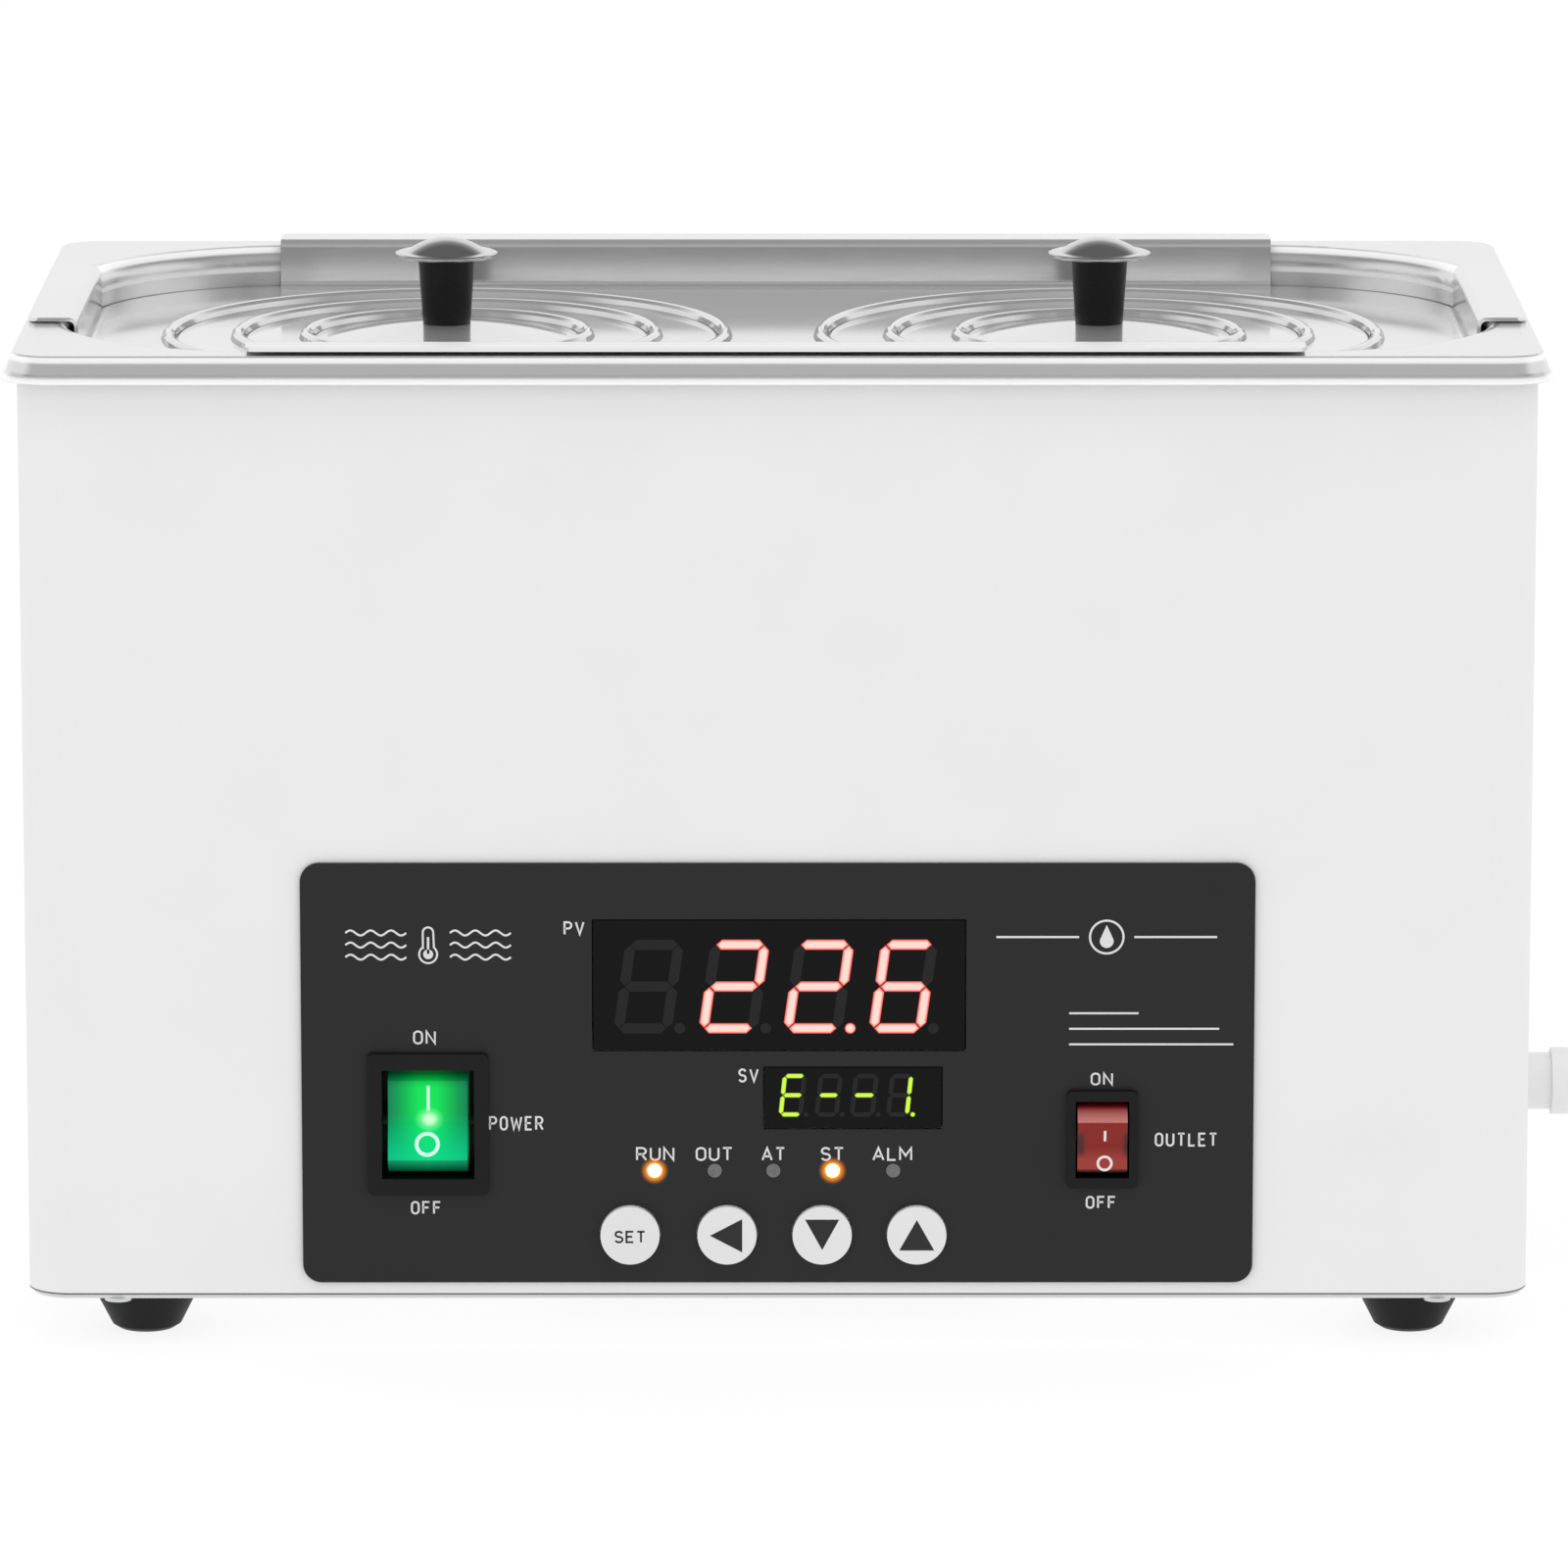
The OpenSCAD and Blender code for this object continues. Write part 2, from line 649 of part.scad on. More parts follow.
module outlet_switch_housing()
    switch_housing(outlet_x, outlet_z, outlet_bezel, outlet_hole, outlet_body, pivot_y(outlet_p), -75);

module switch_terminals() in_place() color(brass) {
    for (z = [-8, 8], x = [-5, 5]) translate([power_x + x - 3.1, -74, power_z + z - 0.4])
        cube([6.2, 10, 0.8]);
    for (z = [-6, 6]) translate([outlet_x - 3.1, -75, outlet_z + z - 0.4]) cube([6.2, 9, 0.8]);
}

// A rocker lies round its own hinge line, with its long side upright and its
// front to -Y, and is turned to its place at rest.
module rocker(x, z, hole, gap, r, p, back, turn, tint) in_place() color(tint)
    translate([x, pivot_y(p), z]) rotate([turn, 0, 0]) {
        w = hole[0] - 2 * gap;
        pin = hole[0] - 0.6 + 2 * pin_reach;
        translate([-w / 2, 0, 0]) rotate([90, 0, 90]) linear_extrude(w) intersection() {
            circle(r, $fn = 96);
            polygon([
                [-p, 0], [-p - r * tan(rocker_tilt), r], [back, r],
                [back, -r], [-p - r * tan(rocker_tilt), -r]
            ]);
        }
        translate([-pin / 2, 0, 0]) rotate([0, 90, 0]) cylinder(r = pin_r, h = pin);
    }

module power_rocker()
    rocker(power_x, power_z, power_hole, power_gap, power_r, power_p, power_back, -rocker_tilt,
        [0.05, 0.7, 0.4]);

module outlet_rocker()
    rocker(outlet_x, outlet_z, outlet_hole, outlet_gap, outlet_r, outlet_p, outlet_back, rocker_tilt,
        [0.6, 0.2, 0.18]);

// ---------- power parts in the base ----------

module supply_board() in_place() color(green_board) {
    translate([-60, 5, base_z + 6]) cube([80, 60, 1.6]);
    for (x = [-56, 16], y = [9, 61]) translate([x, y, base_z]) cylinder(r = 3, h = 6.5, $fn = 24);
    translate([-52, 14, base_z + 7]) cube([34, 38, 29]);
    for (x = [-6, 8], y = [16, 36]) translate([x, y, base_z + 7]) cylinder(r = 5, h = 18);
}

module heat_sink() in_place() color([0.7, 0.71, 0.73]) {
    translate([40, 15, base_z + 15]) cube([50, 58, 4]);
    for (i = [0 : 7]) translate([40 + i * 6.9, 15, base_z]) cube([1.7, 58, 15.5]);
}

module solid_state_relay() in_place() color([0.85, 0.82, 0.72]) {
    translate([43, 15.5, base_z + 19]) cube([44, 57, 22]);
}

module terminal_block() in_place() color([0.88, 0.86, 0.80]) translate([-147.7, -30, base_z])
    difference() {
        cube([19.7, 62, 18]);
        for (i = [0 : 5]) translate([8.7, 6 + i * 10, 8]) cylinder(r = 2.5, h = 20);
        for (i = [0 : 4]) translate([-1, 10.4 + i * 10, 12]) cube([24, 1.2, 8]);
    }

// ---------- mains inlet ----------

module socket_outline() {
    polygon([
        [-socket_w / 2, -socket_h / 2], [socket_w / 2, -socket_h / 2],
        [socket_w / 2, socket_h / 2 - 5], [socket_w / 2 - 5, socket_h / 2],
        [-socket_w / 2 + 5, socket_h / 2], [-socket_w / 2, socket_h / 2 - 5]
    ]);
}

module power_inlet() in_place() color(black) translate([inlet_x, 0, inlet_z]) difference() {
    union() {
        facing(back_y, back_y + flange_t) rounded_rect(flange_w, flange_h, 5);
        facing(back_y - inlet_depth, back_y + 0.5)
            square([inlet_body_w, inlet_body_h], center = true);
    }
    facing(back_y + flange_t - socket_depth, back_y + 5) translate([0, socket_up]) socket_outline();
    facing(back_y + flange_t - drawer_depth - 0.6, back_y + 5) translate([0, drawer_down])
        square([drawer_w + 0.6, drawer_h + 0.6], center = true);
    for (x = [-1, 1]) translate([x * inlet_screw_x, back_y - 5, 0])
        rotate([-90, 0, 0]) cylinder(r = 1.7, h = 10);
    for (x = [-1, 1]) translate([x * inlet_screw_x, back_y + flange_t - 1.6, 0])
        rotate([-90, 0, 0]) cylinder(r1 = 1.7, r2 = 3.4, h = 1.7);
    for (pin = [[-7, -2], [7, -2], [0, 2.5]])
        facing(back_y - inlet_depth - 1, back_y - 10) translate([pin[0], socket_up + pin[1]])
            square([2.02, 4.02], center = true);
}

module inlet_pins() in_place() color(brass)
    for (pin = [[-7, -2], [7, -2], [0, 2.5]])
        facing(back_y - inlet_depth - 8, back_y - 1)
            translate([inlet_x + pin[0], inlet_z + socket_up + pin[1]]) square([2, 4], center = true);

module inlet_screws() in_place() color(steel) for (x = [-1, 1])
    translate([inlet_x + x * inlet_screw_x, back_y, inlet_z]) rotate([-90, 0, 0]) {
        translate([0, 0, -6]) cylinder(r = 1.5, h = 7);
        translate([0, 0, 0.95]) cylinder(r1 = 1.5, r2 = 2.95, h = 1.5);
        translate([0, 0, -case_sheet - 2.4]) cylinder(r = 3.2, h = 2.4, $fn = 6);
    }

module fuse_drawer() in_place() color(dark) translate([inlet_x, 0, inlet_z + drawer_down])
    difference() {
        facing(back_y + flange_t - drawer_depth, back_y + flange_t)
            square([drawer_w, drawer_h], center = true);
        translate([-10.4, back_y + flange_t - 14.5, -3]) cube([20.8, 6, 8]);
        translate([-5, back_y + flange_t - 1.2, -1.2]) cube([10, 2, 2.4]);
    }

module fuse() in_place() color([0.8, 0.85, 0.88])
    translate([inlet_x - 10, back_y + flange_t - 11.5, inlet_z + drawer_down]) rotate([0, 90, 0])
        cylinder(r = fuse_r, h = 20);

// ---------- wiring ----------

module wiring_loom() in_place() color([0.55, 0.12, 0.10]) {
    r = 1.3;
    // inlet to terminal block: live, neutral and earth
    wire([[-102, 52.5, 47.4], [-102, 42, 47.4], [-112, 24, 44], [-128, 0, 46], [-139, -24, 38],
        [-139, -24, 19]], r);
    wire([[-88, 52.5, 47.4], [-88, 40, 47.4], [-104, 18, 40], [-128, 2, 36], [-139, -4, 33],
        [-139, -4, 19]], r);
    wire([[-95, 52.5, 51.9], [-95, 44, 51.9], [-110, 34, 50], [-139, 26, 40], [-139, 26, 19]], r);
    // terminal block to power switch, and switch to supply board
    wire([[-139, -14, 19], [-139, -14, 31], [-126, -34, 38], [-100, -52, 50], [-78.75, -58, 56.4],
        [-78.75, -64, 56.4]], r);
    wire([[-68.75, -64, 56.4], [-68.75, -56, 56.4], [-60, -40, 48], [-44, -8, 40], [-38, 9, 34],
        [-38, 9, 18.6]], r);
    // controller to relay
    wire([[24, -55.8, 30], [24, -46, 30], [34, -20, 44], [52, 10, 58], [52, 22, 60], [52, 22, 52]], r);
    // outlet switch to valve coil, and coil to supply board
    wire([[68.5, -66, 51], [68.5, -56, 51], [80, -36, 60], [86, -20, 66], [92, -5, 66],
        [92, -5, 58.3]], r);
    wire([[92, 5, 58.3], [92, 5, 68], [60, -2, 66], [30, -6, 50], [12, 9, 36], [12, 9, 18.6]], r);
    // terminal block to heater, and heater to thermal cut-out
    wire([[-139, 6, 19], [-139, 6, 44], [-134, 24, 60], [-124, 39, 76], [-124, 39, 90]], r);
    wire([[-124, -39, 90], [-124, -39, 80], [-112, -30, 62], [-90, -10, 58], [-72, 20, 66],
        [-60, 33.5, 80], [-60, 33.5, 95]], r);
    // thermal cut-out to relay
    wire([[-60, 26.5, 95], [-60, 26.5, 84], [-20, 30, 76], [60, 30, 70], [72, 30, 60],
        [72, 30, 52]], r);
    // probe to controller
    wire([[-131, 0, 97], [-131, 0, 84], [-116, -20, 76], [-60, -40, 76], [-20, -46, 84],
        [-20, -55.8, 84]], r);
}

// ---------- cover and rings ----------

// Bead, step and seat round an opening. The bead's outside radius is r.
module bead_profile(r) {
    t = cover_sheet;
    mid = r - bead_w / 2;
    polygon([
        [r + 0.6, 0], [r, 0], [r - 0.4, bead_h * 0.6], [mid + 0.6, bead_h * 0.92], [mid, bead_h],
        [mid - 0.6, bead_h * 0.92], [r - bead_w + 0.4, bead_h * 0.6], [r - bead_w, 0],
        [r - bead_w, seat_top], [r - bead_w - seat_w, seat_top], [r - bead_w - seat_w, seat_top - t],
        [r - bead_w + t, seat_top - t], [r - bead_w + t, 0], [mid - 0.5, bead_h - t - 0.2],
        [mid, bead_h - t], [mid + 0.5, bead_h - t - 0.2], [r - t, 0], [r - t, -t], [r + 0.6, -t]
    ]);
}

module ring_profile(r_out, r_bead) {
    translate([r_bead, -cover_sheet]) square([r_out - r_bead, cover_sheet]);
    bead_profile(r_bead);
}

module ring(x, r_out, r_bead) in_place() color(steel) translate([x, 0, plate_z])
    rotate_extrude($fn = 128) ring_profile(r_out, r_bead);

// Section of a hanging tab: it bends up from the plate and out over the rim.
// x is the distance from the middle of the cover and y is the height.
module tab_section(reach, lean, gap) {
    t = cover_sheet;
    r = tab_bend;
    top = rim_top + gap + t;
    across = 2 * r - t;
    web = (top - plate_z + t - 2 * r + across * sin(lean)) / cos(lean);
    top_x = reach - 0.5 - t + r;
    translate([top_x - across * cos(lean) - web * sin(lean), plate_z - t + r]) {
        intersection() {
            tab_curl();
            polygon([[0, 0], [0, -2 * r], [2 * r, -2 * r], [2 * r * cos(lean), -2 * r * sin(lean)]]);
        }
        rotate(-lean) translate([r - t, 0]) square([t, web]);
    }
    translate([top_x, top - r]) intersection() {
        tab_curl();
        polygon([[0, 0], [0, 2 * r], [-2 * r, 2 * r], [-2 * r * cos(lean), 2 * r * sin(lean)]]);
    }
}

module tab_curl() difference() {
    circle(tab_bend, $fn = 64);
    circle(tab_bend - cover_sheet, $fn = 64);
}

module tab(length, turn, reach, lean, gap) rotate([0, 0, turn]) {
    inner = reach - 0.5 - cover_sheet + tab_bend;
    outer = reach + 9.4;
    translate([-length, 0, 0]) rotate([90, 0, 90]) linear_extrude(2 * length) tab_section(reach, lean, gap);
    translate([0, 0, rim_top + gap]) linear_extrude(cover_sheet) {
        translate([-length, inner]) square([2 * length, outer - inner - tab_corner]);
        translate([-length + tab_corner, inner]) square([2 * length - 2 * tab_corner, outer - inner]);
        for (x = [-1, 1]) translate([x * (length - tab_corner), outer - tab_corner])
            circle(tab_corner);
    }
}

module cover_plate() in_place() color(steel) {
    difference() {
        translate([0, 0, plate_z - cover_sheet]) linear_extrude(cover_sheet)
            rounded_rect(bath_w - 1, bath_d - 1, bath_corner - 0.5);
        for (x = ring_spots) translate([x, 0, plate_z - 3]) cylinder(r = plate_bead_r, h = 6);
    }
    for (x = ring_spots) translate([x, 0, plate_z])
        rotate_extrude($fn = 128) bead_profile(plate_bead_r);
    translate([tab_offset, 0, 0]) for (turn = [0, 180])
        tab(long_tab, turn, bath_d / 2 - 0.3, tab_lean, long_tab_gap);
    for (turn = [90, 270]) tab(side_tab, turn, bath_w / 2 - 0.6, 0, bed_gap);
}

module outer_ring_left() ring(ring_spots[0], plate_bead_r - bead_w - ring_gap, outer_bead_r);
module outer_ring_right() ring(ring_spots[1], plate_bead_r - bead_w - ring_gap, outer_bead_r);
module inner_ring_left() ring(ring_spots[0], outer_bead_r - bead_w - ring_gap, inner_bead_r);
module inner_ring_right() ring(ring_spots[1], outer_bead_r - bead_w - ring_gap, inner_bead_r);

module centre_lid(x) in_place() color(steel) translate([x, 0, plate_z])
    rotate_extrude($fn = 128) difference() {
        union() {
            intersection() {
                translate([0, lid_rise - dome_curve]) difference() {
                    circle(dome_curve, $fn = 720);
                    circle(dome_curve - cover_sheet, $fn = 720);
                }
                translate([0, -1]) square([dome_r, 8]);
            }
            translate([dome_r - 0.3, -cover_sheet]) square([lid_r - dome_r + 0.3, cover_sheet]);
        }
        translate([-1, -4]) square([3.1, 12]);
    }

module centre_lid_left() centre_lid(ring_spots[0]);
module centre_lid_right() centre_lid(ring_spots[1]);

module knob(x) in_place() color(black) translate([x, 0, knob_z]) difference() {
    cylinder(r1 = 5.15, r2 = 6.1, h = knob_h, $fn = 64);
    translate([0, 0, -1]) cylinder(r = 2.1, h = knob_h + 2);
}

module knob_left() knob(ring_spots[0]);
module knob_right() knob(ring_spots[1]);

module knob_cap(x) in_place() color(steel) translate([x, 0, cap_z]) {
    rotate_extrude($fn = 96) {
        polygon([
            [0, 0], [6.4, 0], [10.6, 0.45], [11, 0.75], [11, 1.15], [10.6, 1.35], [8.2, 1.5], [0, 1.5]
        ]);
        intersection() {
            translate([0, cap_rise - cap_dome_r]) circle(cap_dome_r, $fn = 180);
            translate([0, 1]) square([9, 6]);
        }
    }
    translate([0, 0, -knob_h - 4]) cylinder(r = 2, h = knob_h + 4.2);
    translate([0, 0, -knob_h - 3.2]) cylinder(r = 3.6, h = 2.3, $fn = 6);
}

module knob_cap_left() knob_cap(ring_spots[0]);
module knob_cap_right() knob_cap(ring_spots[1]);

// ---------- shelf ----------

module shelf() in_place() color(steel) {
    translate([0, 0, shelf_top - 1.2]) linear_extrude(1.2) difference() {
        rounded_rect(280, 132, 38);
        for (i = [-5 : 5], j = [-2 : 2]) translate([i * 24, j * 24]) circle(shelf_hole_d / 2, $fn = 24);
    }
    for (x = [-1, 1], y = [-1, 1])
        translate([x * shelf_leg_x, y * shelf_leg_y, floor_z + bed_gap])
            cylinder(r = 3, h = shelf_top - 1 - floor_z - bed_gap, $fn = 32);
}

// ---------- build ----------

outer_case();
base_plate();
foot_front_left();
foot_front_right();
foot_back_left();
foot_back_right();
foot_studs();
base_screws();
tank();
rim_gasket();
tank_jacket();
heater_tube();
floor_glands();
temperature_probe();
thermal_cutout();
drain_fitting();
drain_nuts();
drain_hose_upper();
drain_valve();
valve_coil();
drain_hose_lower();
drain_spout();
fascia_panel();
pv_display();
sv_display();
indicator_lamps();
controller_board();
board_standoffs();
key_switches();
power_switch_housing();
outlet_switch_housing();
switch_terminals();
supply_board();
solid_state_relay();
heat_sink();
terminal_block();
power_inlet();
inlet_pins();
inlet_screws();
wiring_loom();
cover_plate();
outer_ring_left();
outer_ring_right();
inner_ring_left();
inner_ring_right();
centre_lid_left();
centre_lid_right();
knob_left();
knob_right();
knob_cap_left();
knob_cap_right();
shelf();
power_rocker();
outlet_rocker();
set_button();
shift_button();
down_button();
up_button();
fuse_drawer();
fuse();
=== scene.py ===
import bpy
import math
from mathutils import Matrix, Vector


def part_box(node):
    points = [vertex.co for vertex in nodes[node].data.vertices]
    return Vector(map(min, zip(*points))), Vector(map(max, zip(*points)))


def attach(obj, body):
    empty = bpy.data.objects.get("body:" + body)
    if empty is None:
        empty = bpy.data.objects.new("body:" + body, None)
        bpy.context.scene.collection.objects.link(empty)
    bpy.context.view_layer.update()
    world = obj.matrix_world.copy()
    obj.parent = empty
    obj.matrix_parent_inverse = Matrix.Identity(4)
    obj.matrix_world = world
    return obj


# Water bath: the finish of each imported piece, and the printing, digits and marks drawn on them

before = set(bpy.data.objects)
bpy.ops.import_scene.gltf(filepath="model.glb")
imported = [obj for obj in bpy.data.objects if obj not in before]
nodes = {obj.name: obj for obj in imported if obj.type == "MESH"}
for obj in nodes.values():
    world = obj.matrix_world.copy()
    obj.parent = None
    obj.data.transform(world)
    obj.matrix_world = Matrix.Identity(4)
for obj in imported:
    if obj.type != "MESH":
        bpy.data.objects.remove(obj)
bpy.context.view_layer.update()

# ---------------------------------------------------------------- positions
tank_low, tank_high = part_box("tank")
MID_X = (tank_low.x + tank_high.x) / 2
MID_Y = (tank_low.y + tank_high.y) / 2
PANEL_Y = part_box("fascia_panel")[0].y
MM = 0.001
CORE = "glow"  # the mesh attribute that says how near a point is to the core of a lit shape

# Printing stands this far off its surface, and lit shapes a little further, in metres
PRINT_LIFT = 0.00003
LIT_LIFT = 0.00004

# Places on the front, in millimetres from the middle of the case and up from the bench
POWER_X, POWER_HALF_W, POWER_HINGE_Z, POWER_HINGE_DEPTH = -73.75, 8.4, 48.4, 5.4
OUTLET_X, OUTLET_HALF_W, OUTLET_HINGE_Z, OUTLET_HINGE_DEPTH = 68.8, 5.3, 45.1, 5.0
ROCKER_FACE_Y = -87.0
ROCKER_BEND = 20.0  # degrees between the two halves of a rocker's face
LIT_LAMPS = (-26.0, 11.6)
LAMP_Z = 38.2


def at(x, y, z):
    """A point given in millimetres from the middle of the case, on the bench."""
    return Vector((MID_X + x * MM, MID_Y + y * MM, z * MM))


# ---------------------------------------------------------------- materials
def new_material(name):
    m = bpy.data.materials.new(name)
    m.use_nodes = True
    nt = m.node_tree
    bsdf = nt.nodes["Principled BSDF"]
    return m, nt, bsdf


def link(nt, a, b):
    nt.links.new(a, b)


def coords(nt, scale=(1, 1, 1)):
    """The point on the object, stretched along its axes."""
    tc = nt.nodes.new("ShaderNodeTexCoord")
    mp = nt.nodes.new("ShaderNodeMapping")
    mp.inputs["Scale"].default_value = scale
    link(nt, tc.outputs["Object"], mp.inputs["Vector"])
    return mp.outputs["Vector"]


def place(nt):
    """The point on the object, as separate X, Y and Z."""
    tc = nt.nodes.new("ShaderNodeTexCoord")
    sep = nt.nodes.new("ShaderNodeSeparateXYZ")
    link(nt, tc.outputs["Object"], sep.inputs["Vector"])
    return sep.outputs


def noise(nt, vec, scale, detail=3.0, rough=0.5):
    n = nt.nodes.new("ShaderNodeTexNoise")
    n.inputs["Scale"].default_value = scale
    n.inputs["Detail"].default_value = detail
    n.inputs["Roughness"].default_value = rough
    link(nt, vec, n.inputs["Vector"])
    return n.outputs["Fac"]


def remap(nt, fac, lo, hi, from_lo=0.3, from_hi=0.7):
    """Carries from_lo..from_hi over to lo..hi, and holds it there outside."""
    r = nt.nodes.new("ShaderNodeMapRange")
    r.inputs["From Min"].default_value = from_lo
    r.inputs["From Max"].default_value = from_hi
    r.inputs["To Min"].default_value = lo
    r.inputs["To Max"].default_value = hi
    link(nt, fac, r.inputs["Value"])
    return r.outputs["Result"]


def ramp(nt, fac, stops):
    """A colour that runs through stops, given as (position, colour)."""
    r = nt.nodes.new("ShaderNodeValToRGB")
    el = r.color_ramp.elements
    el[0].position, el[0].color = stops[0][0], (*stops[0][1], 1)
    el[1].position, el[1].color = stops[-1][0], (*stops[-1][1], 1)
    for p, c in stops[1:-1]:
        e = el.new(p)
        e.color = (*c, 1)
    link(nt, fac, r.inputs["Fac"])
    return r.outputs["Color"]


def bump(nt, bsdf, fac, strength, distance):
    b = nt.nodes.new("ShaderNodeBump")
    b.inputs["Strength"].default_value = strength
    b.inputs["Distance"].default_value = distance
    link(nt, fac, b.inputs["Height"])
    link(nt, b.outputs["Normal"], bsdf.inputs["Normal"])


def add_math(nt, op, a, b):
    n = nt.nodes.new("ShaderNodeMath")
    n.operation = op
    for i, v in enumerate((a, b)):
        if isinstance(v, (int, float)):
            n.inputs[i].default_value = v
        else:
            link(nt, v, n.inputs[i])
    return n.outputs["Value"]


def grey(v):
    return (v, v, v)


def rise(nt, start, end):
    """How far a point lies from one height to another, from 0 to 1, held there outside."""
    return remap(nt, place(nt)["Z"], 0.0, 1.0, start * MM, end * MM)


def by_height(nt, low, high, stops):
    """A colour that follows the height above the bench, through (millimetres, colour) stops."""
    return ramp(nt, rise(nt, low, high), [((z - low) / (high - low), c) for z, c in stops])


def from_line(nt, x):
    """Distance in metres from the upright plane at x millimetres."""
    offset = add_math(nt, "SUBTRACT", place(nt)["X"], at(x, 0, 0).x)
    return add_math(nt, "ABSOLUTE", offset, 0)


def mix_colour(nt, fac, a, b, kind="MIX"):
    n = nt.nodes.new("ShaderNodeMixRGB")
    n.blend_type = kind
    for i, v in enumerate((fac, a, b)):
        if isinstance(v, (int, float)):
            n.inputs[i].default_value = v
        elif isinstance(v, tuple):
            n.inputs[i].default_value = (*v, 1)
        else:
            link(nt, v, n.inputs[i])
    return n.outputs["Color"]


def shade(base, amount):
    return tuple(max(0.0, min(1.0, c * amount)) for c in base)


def coated(name, base, rough, peel, peel_depth, mottle, spec=0.5, seam_shadow=None):
    """Powder coat or moulded plastic: fine skin texture, soft mottling. Where a band of heights is given, a
    painted shadow line is multiplied into the colour.
    """
    m, nt, b = new_material(name)
    v = coords(nt)
    big = noise(nt, v, 35.0, 4.0)
    col = ramp(nt, big, [(0.3, shade(base, 1 - mottle)), (0.7, shade(base, 1 + mottle * 0.6))])
    if seam_shadow:
        # painted shade: the colour goes dark at the given heights
        col = mix_colour(nt, 1.0, col, by_height(nt, *seam_shadow), "MULTIPLY")
    link(nt, col, b.inputs["Base Color"])
    fine = noise(nt, v, peel, 3.0, 0.6)
    link(nt, remap(nt, fine, rough * 0.88, rough * 1.12), b.inputs["Roughness"])
    b.inputs["Specular IOR Level"].default_value = spec
    bump(nt, b, fine, 0.35, peel_depth)
    return m


def steel(name, base, rough, grain, grain_scale, mottle, depth=0.000008, mirror=0.75, band=None):
    """Sheet metal: stretched grain, smudged roughness, faint scratches. Heights in a band get painted
    highlights: a pale, less metallic colour.
    """
    m, nt, b = new_material(name)
    b.inputs["Metallic"].default_value = mirror
    b.inputs["Specular IOR Level"].default_value = 0.3
    lines = noise(nt, coords(nt, grain), grain_scale, 5.0, 0.65)
    smudge = noise(nt, coords(nt), 28.0, 4.0, 0.55)
    col = ramp(nt, smudge, [(0.3, shade(base, 1 - mottle)), (0.7, shade(base, 1 + mottle * 0.5))])
    if band:
        # painted highlight: inside the band the colour turns pale grey and the metal turns matte, standing
        # in for light caught by the edges
        edge = by_height(nt, *band)
        col = mix_colour(nt, edge, col, grey(0.95))
        link(nt, remap(nt, edge, mirror, 0.1, 0.0, 1.0), b.inputs["Metallic"])
    link(nt, col, b.inputs["Base Color"])
    r1 = remap(nt, lines, rough * 0.8, rough * 1.25)
    r2 = remap(nt, smudge, -rough * 0.12, rough * 0.2)
    link(nt, add_math(nt, "ADD", r1, r2), b.inputs["Roughness"])
    bump(nt, b, lines, 0.25, depth)
    return m


def metal(name, base, rough):
    """Solid turned or plated metal, with no grain."""
    return steel(name, base, rough, (1, 1, 1), 2200.0, 0.08, 0.00001, 1.0)


def rubber(name, base, rough):
    m, nt, b = new_material(name)
    v = coords(nt)
    big = noise(nt, v, 120.0, 5.0)
    col = ramp(nt, big, [(0.3, shade(base, 0.8)), (0.75, shade(base, 1.5))])
    link(nt, col, b.inputs["Base Color"])
    fine = noise(nt, v, 2600.0, 4.0, 0.65)
    link(nt, remap(nt, fine, rough * 0.85, rough * 1.15), b.inputs["Roughness"])
    bump(nt, b, fine, 0.5, 0.00006)
    return m


def felt(name, base):
    m, nt, b = new_material(name)
    v = coords(nt, (1, 1, 3))
    fibres = noise(nt, v, 900.0, 8.0, 0.8)
    col = ramp(nt, fibres, [(0.3, shade(base, 0.75)), (0.7, shade(base, 1.1))])
    link(nt, col, b.inputs["Base Color"])
    b.inputs["Roughness"].default_value = 0.95
    b.inputs["Sheen Weight"].default_value = 0.3
    bump(nt, b, fibres, 0.8, 0.0004)
    return m


def board(name):
    """Circuit board: green lacquer over rows of tracks."""
    m, nt, b = new_material(name)
    v = coords(nt)
    tracks = nt.nodes.new("ShaderNodeTexBrick")
    tracks.inputs["Scale"].default_value = 160.0
    tracks.inputs["Color1"].default_value = (0.012, 0.11, 0.045, 1)
    tracks.inputs["Color2"].default_value = (0.018, 0.15, 0.06, 1)
    tracks.inputs["Mortar"].default_value = (0.03, 0.22, 0.09, 1)
    tracks.inputs["Mortar Size"].default_value = 0.015
    link(nt, v, tracks.inputs["Vector"])
    link(nt, tracks.outputs["Color"], b.inputs["Base Color"])
    n = noise(nt, v, 700.0)
    link(nt, remap(nt, n, 0.28, 0.42), b.inputs["Roughness"])
    bump(nt, b, tracks.outputs["Fac"], 0.3, 0.00003)
    return m


def glass(name, base):
    m, nt, b = new_material(name)
    v = coords(nt)
    n = noise(nt, v, 600.0, 2.0)
    col = ramp(nt, n, [(0.3, shade(base, 0.96)), (0.7, base)])
    link(nt, col, b.inputs["Base Color"])
    b.inputs["Transmission Weight"].default_value = 0.9
    b.inputs["IOR"].default_value = 1.5
    link(nt, remap(nt, n, 0.02, 0.06), b.inputs["Roughness"])
    return m


def core(nt):
    """How near a point is to the core of a lit shape, from its mesh: 0 at the edge, 1 at the core."""
    a = nt.nodes.new("ShaderNodeAttribute")
    a.attribute_name = CORE
    return a.outputs["Fac"]


def glow(name, stops, strength):
    """Lit segment: its colour runs from its edge to its core."""
    m, nt, b = new_material(name)
    col = ramp(nt, core(nt), stops)
    b.inputs["Base Color"].default_value = (0.02, 0.02, 0.02, 1)
    link(nt, col, b.inputs["Emission Color"])
    b.inputs["Emission Strength"].default_value = strength
    b.inputs["Roughness"].default_value = 0.3
    return m


